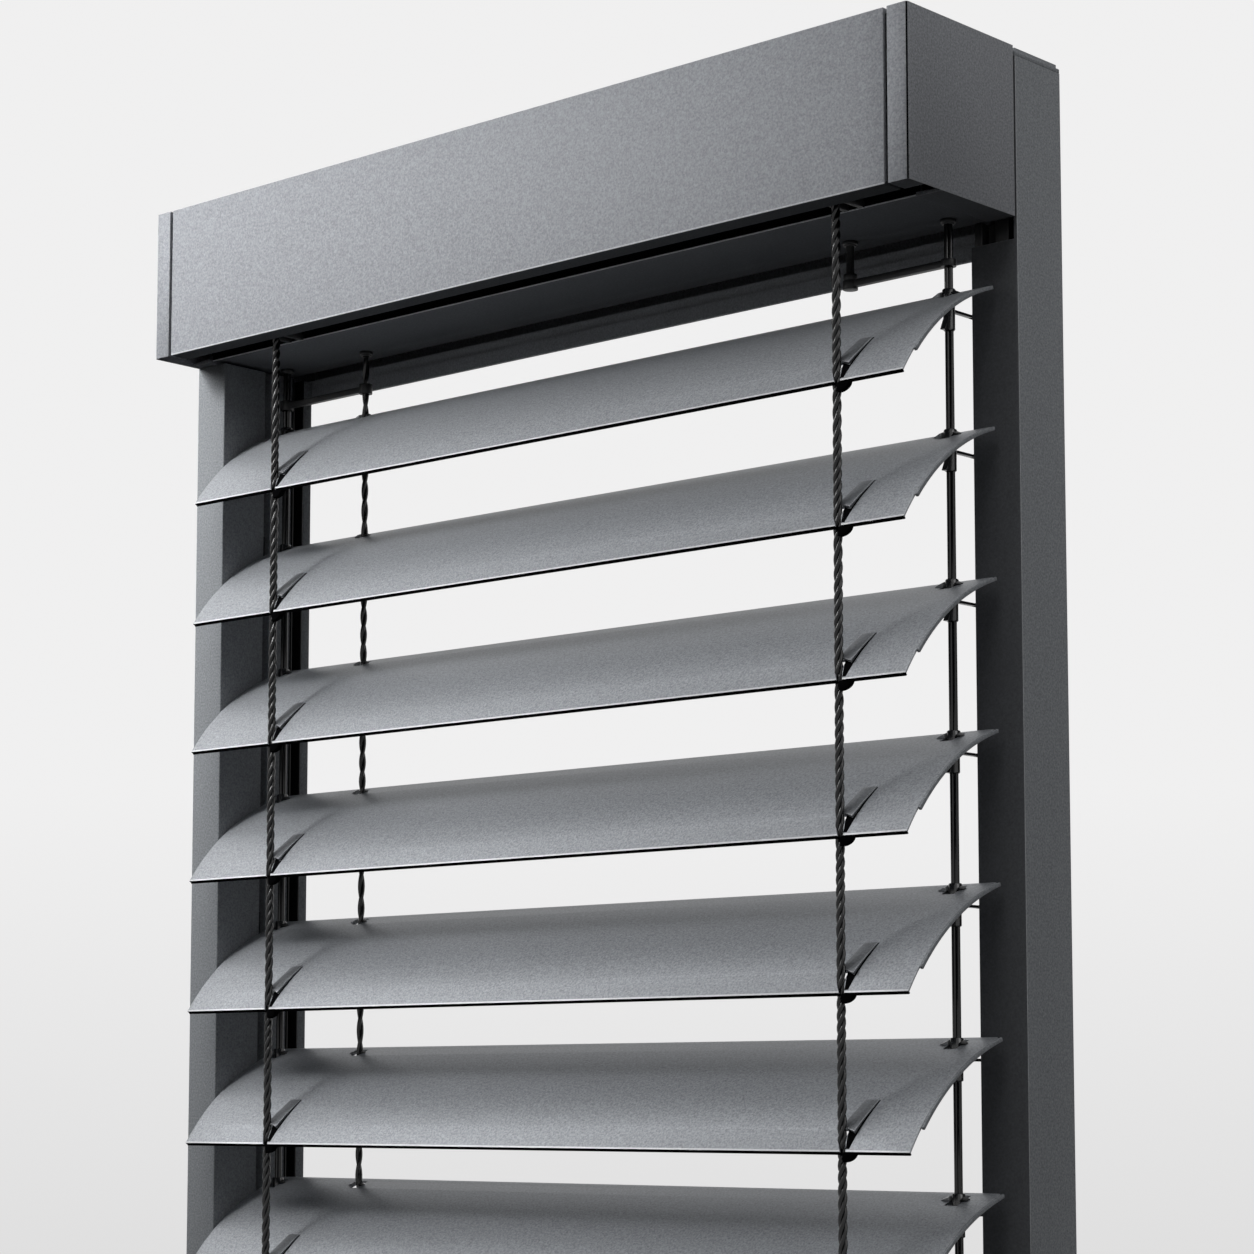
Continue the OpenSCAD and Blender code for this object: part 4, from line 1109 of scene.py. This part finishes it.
# the head rail takes a darker copy of the profile coat, painted shade
ownLooks = {"head_rail": ["paintedRailShade", "deepBlack", "paintedEdgeHighlight"], "back_rail": "bandCoat",
            "right_guide_post": ["profileCoat", "paintedEdgeHighlight", "paintedRailShade"]}
softPieces = {}
for node, (name, edge) in softParts.items():
    piece = softCopy(node, name, edge * mm)
    if node == "back_rail":
        evenShading(piece)
    slotName = nodeSlots[node]
    place(piece, nodeBodies[node], slotName, ownLooks.get(node, slotMaterials[slotName]), node)
    softPieces[node] = piece
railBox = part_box("head_rail")
channel, post = softPieces["head_rail"], softPieces["right_guide_post"]
# painted shade on the rail's front face and a painted highlight along its lower front edge
paint(channel, 1, lambda c, n: c.y < railBox[0].y + 0.3 * mm and n.y < -0.7)
paint(channel, 2, lambda c, n: c.y < railBox[0].y + 0.5 * mm and c.z < railBox[0].z + 0.5 * mm
      and -0.93 < n.y < -0.2 and n.z < -0.2)
# painted highlight on the post's front right edge and painted shade on its front face
paint(post, 1, lambda c, n: c.y < postBox[0].y + 0.9 * mm and c.x > postBox[1].x - 0.9 * mm
      and n.y < -0.2 and n.x > 0.2)
paint(post, 2, lambda c, n: c.y < postBox[0].y + 0.3 * mm and n.y < -0.95)

# dark sheets of painted shade behind the slot of the head rail and behind the gaps beside the cover
shadeShape = inMm({"behind": 0.9, "thick": 0.6, "low": 2.6, "high": 26, "edge": 0.1, "seam": 5, "seamAt": 2.4,
                   "seamEnd": 2.2})
shadeY = railBox[0].y - shadeShape["behind"]
slotShade = solidBlock("slot_shade", (railBox[0].x, shadeY, railBox[0].z + shadeShape["low"]),
                       (railBox[1].x, shadeY + shadeShape["thick"], railBox[0].z + shadeShape["high"]),
                       shadeShape["edge"])
seamY = frontY + shadeShape["seamAt"]
seamShades = []
for side in (-1, 1):
    inside = halfWide - capShape["strip"]
    ends = sorted((side * (inside + shadeShape["seam"] / 2), side * (inside - shadeShape["seam"])))
    seamShades.append(solidBlock("seam", (ends[0], seamY, lowZ + shadeShape["seamEnd"]),
                            (ends[1], seamY + shadeShape["thick"], topZ - shadeShape["seamEnd"]),
                            shadeShape["edge"]))
place(slotShade, "frame", "black_plastic", "deepBlack")
railHighlightShape = inMm({"out": 0.3, "in": 0.4, "down": 0.05, "up": 0.5, "edge": 0.15})
# pale strip along the rail's lower front edge, a painted highlight
railHighlightStrip = solidBlock("rail_highlight_strip",
                      (railBox[0].x, railBox[0].y - railHighlightShape["out"], railBox[0].z - railHighlightShape["down"]),
                      (railBox[1].x, railBox[0].y + railHighlightShape["in"], railBox[0].z + railHighlightShape["up"]),
                      railHighlightShape["edge"])
place(railHighlightStrip, "frame", "cap_coat", "slatRim")
place(joinAll("seam_painted_shade", seamShades), "frame", "black_plastic", "deepBlack")
print("head box and posts ready")

# rings: radius and height of the sleeve's turned outline
sleeveShape = {"rings": [[2.25, -15.5], [2.6, -15.1], [2.6, -3.2], [2.95, -2.9], [2.95, 2.5], [2.6, 2.95],
                         [1.98, 2.95], [1.98, -15.5]], "sides": 32}


def makeSleeve(x):
    # turned sleeve round a rear cord, closed over its bore
    deselectAll()
    bpy.ops.mesh.primitive_circle_add(vertices=sleeveShape["sides"], radius=sleeveShape["rings"][0][0] * mm)
    piece = begin("sleeve")
    last = sleeveShape["rings"][0]
    slide((x, pivot.y, pivot.z + last[1] * mm))
    for ring in sleeveShape["rings"][1:] + sleeveShape["rings"][:1]:
        pull((0, 0, (ring[1] - last[1]) * mm))
        share = ring[0] / last[0]
        bpy.ops.transform.resize(value=(share, share, 1), center_override=(x, pivot.y, pivot.z))
        last = ring
    closeUp()
    return finishWith(piece, smooth=40)


wedge = inMm({"half": 1.4, "out": 5.0, "root": 1.6, "top": -8, "low": -15.5, "edge": 0.2})


def makeWedge(x):
    # web in front of the sleeve
    root, top = pivot.y - wedge["root"], pivot.z + wedge["top"]
    piece = startEdge("wedge", (x - wedge["half"], root, top), (x + wedge["half"], root, top))
    pull((0, wedge["root"] - wedge["out"], wedge["low"] - wedge["top"]))
    pull((0, wedge["out"] - wedge["root"], 0))
    pull((0, 0, wedge["top"] - wedge["low"]))
    selectWhole()
    bpy.ops.mesh.remove_doubles(threshold=0.00001)
    pick(piece, "EDGE", lambda p: abs(abs(p.x - x) - wedge["half"]) < 0.01 * mm)
    bpy.ops.mesh.edge_face_add()
    objectMode()
    editMode()
    selectWhole()
    bpy.ops.mesh.normals_make_consistent(inside=False)
    return finishWith(piece, edge=wedge["edge"])


armShape = inMm({"half": 1.2, "low": -7.0, "high": -5.7, "into": 2, "edge": 0.3})
shoeShape = inMm({"low": -12, "high": -4, "gap": 0.5, "edge": 0.4})


def makeCarrier(x, span, edge, tip):
    # thin arm from the sleeve back to the guide groove, with the shoe inside the groove
    side = 1 if x > 0 else -1
    near, far = span
    low, high = pivot.z + armShape["low"], pivot.z + armShape["high"]
    half = armShape["half"]
    arm = solidBlock("arm", (x - half, pivot.y, low), (x + half, far, high), armShape["edge"])
    ends = sorted((x - side * half, edge + side * armShape["into"]))
    bar = solidBlock("bar", (ends[0], near, low), (ends[1], far, high), armShape["edge"])
    ends = sorted((edge + side * shoeShape["gap"], tip))
    shoe = solidBlock("shoe", (ends[0], near, pivot.z + shoeShape["low"]),
                      (ends[1], far, pivot.z + shoeShape["high"]), shoeShape["edge"])
    return [makeSleeve(x), makeWedge(x), arm, bar, shoe]


# the guide grooves, as wide as the solids have them
groove = inMm({"wide": 7.3, "liner": 0.6, "running": 0.3, "leftBack": 5.5, "rightFront": 2})
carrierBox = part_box("carriers_1")
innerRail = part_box("left_guide_rail")
play = groove["liner"] + groove["running"]
shoeDeep = groove["wide"] - 2 * play
leftGroove = innerRail[1].y - groove["leftBack"] - groove["wide"] + play
rightGroove = postBox[0].y + groove["rightFront"] + play
firstCarrier = joinAll(
    "carrier_pair_1",
    makeCarrier(rearX["left"], (leftGroove, leftGroove + shoeDeep), innerRail[1].x, carrierBox[0].x)
    + makeCarrier(rearX["right"], (rightGroove, rightGroove + shoeDeep), postBox[0].x, carrierBox[1].x))
for i in slatNumbers:
    node = f"carriers_{i}"
    piece = firstCarrier if i == 1 else movedCopy(firstCarrier, f"carrier_pair_{i}", toSlat[i])
    place(piece, nodeBodies[node], "black_plastic", "sleevePlastic", node)
print("carriers ready")
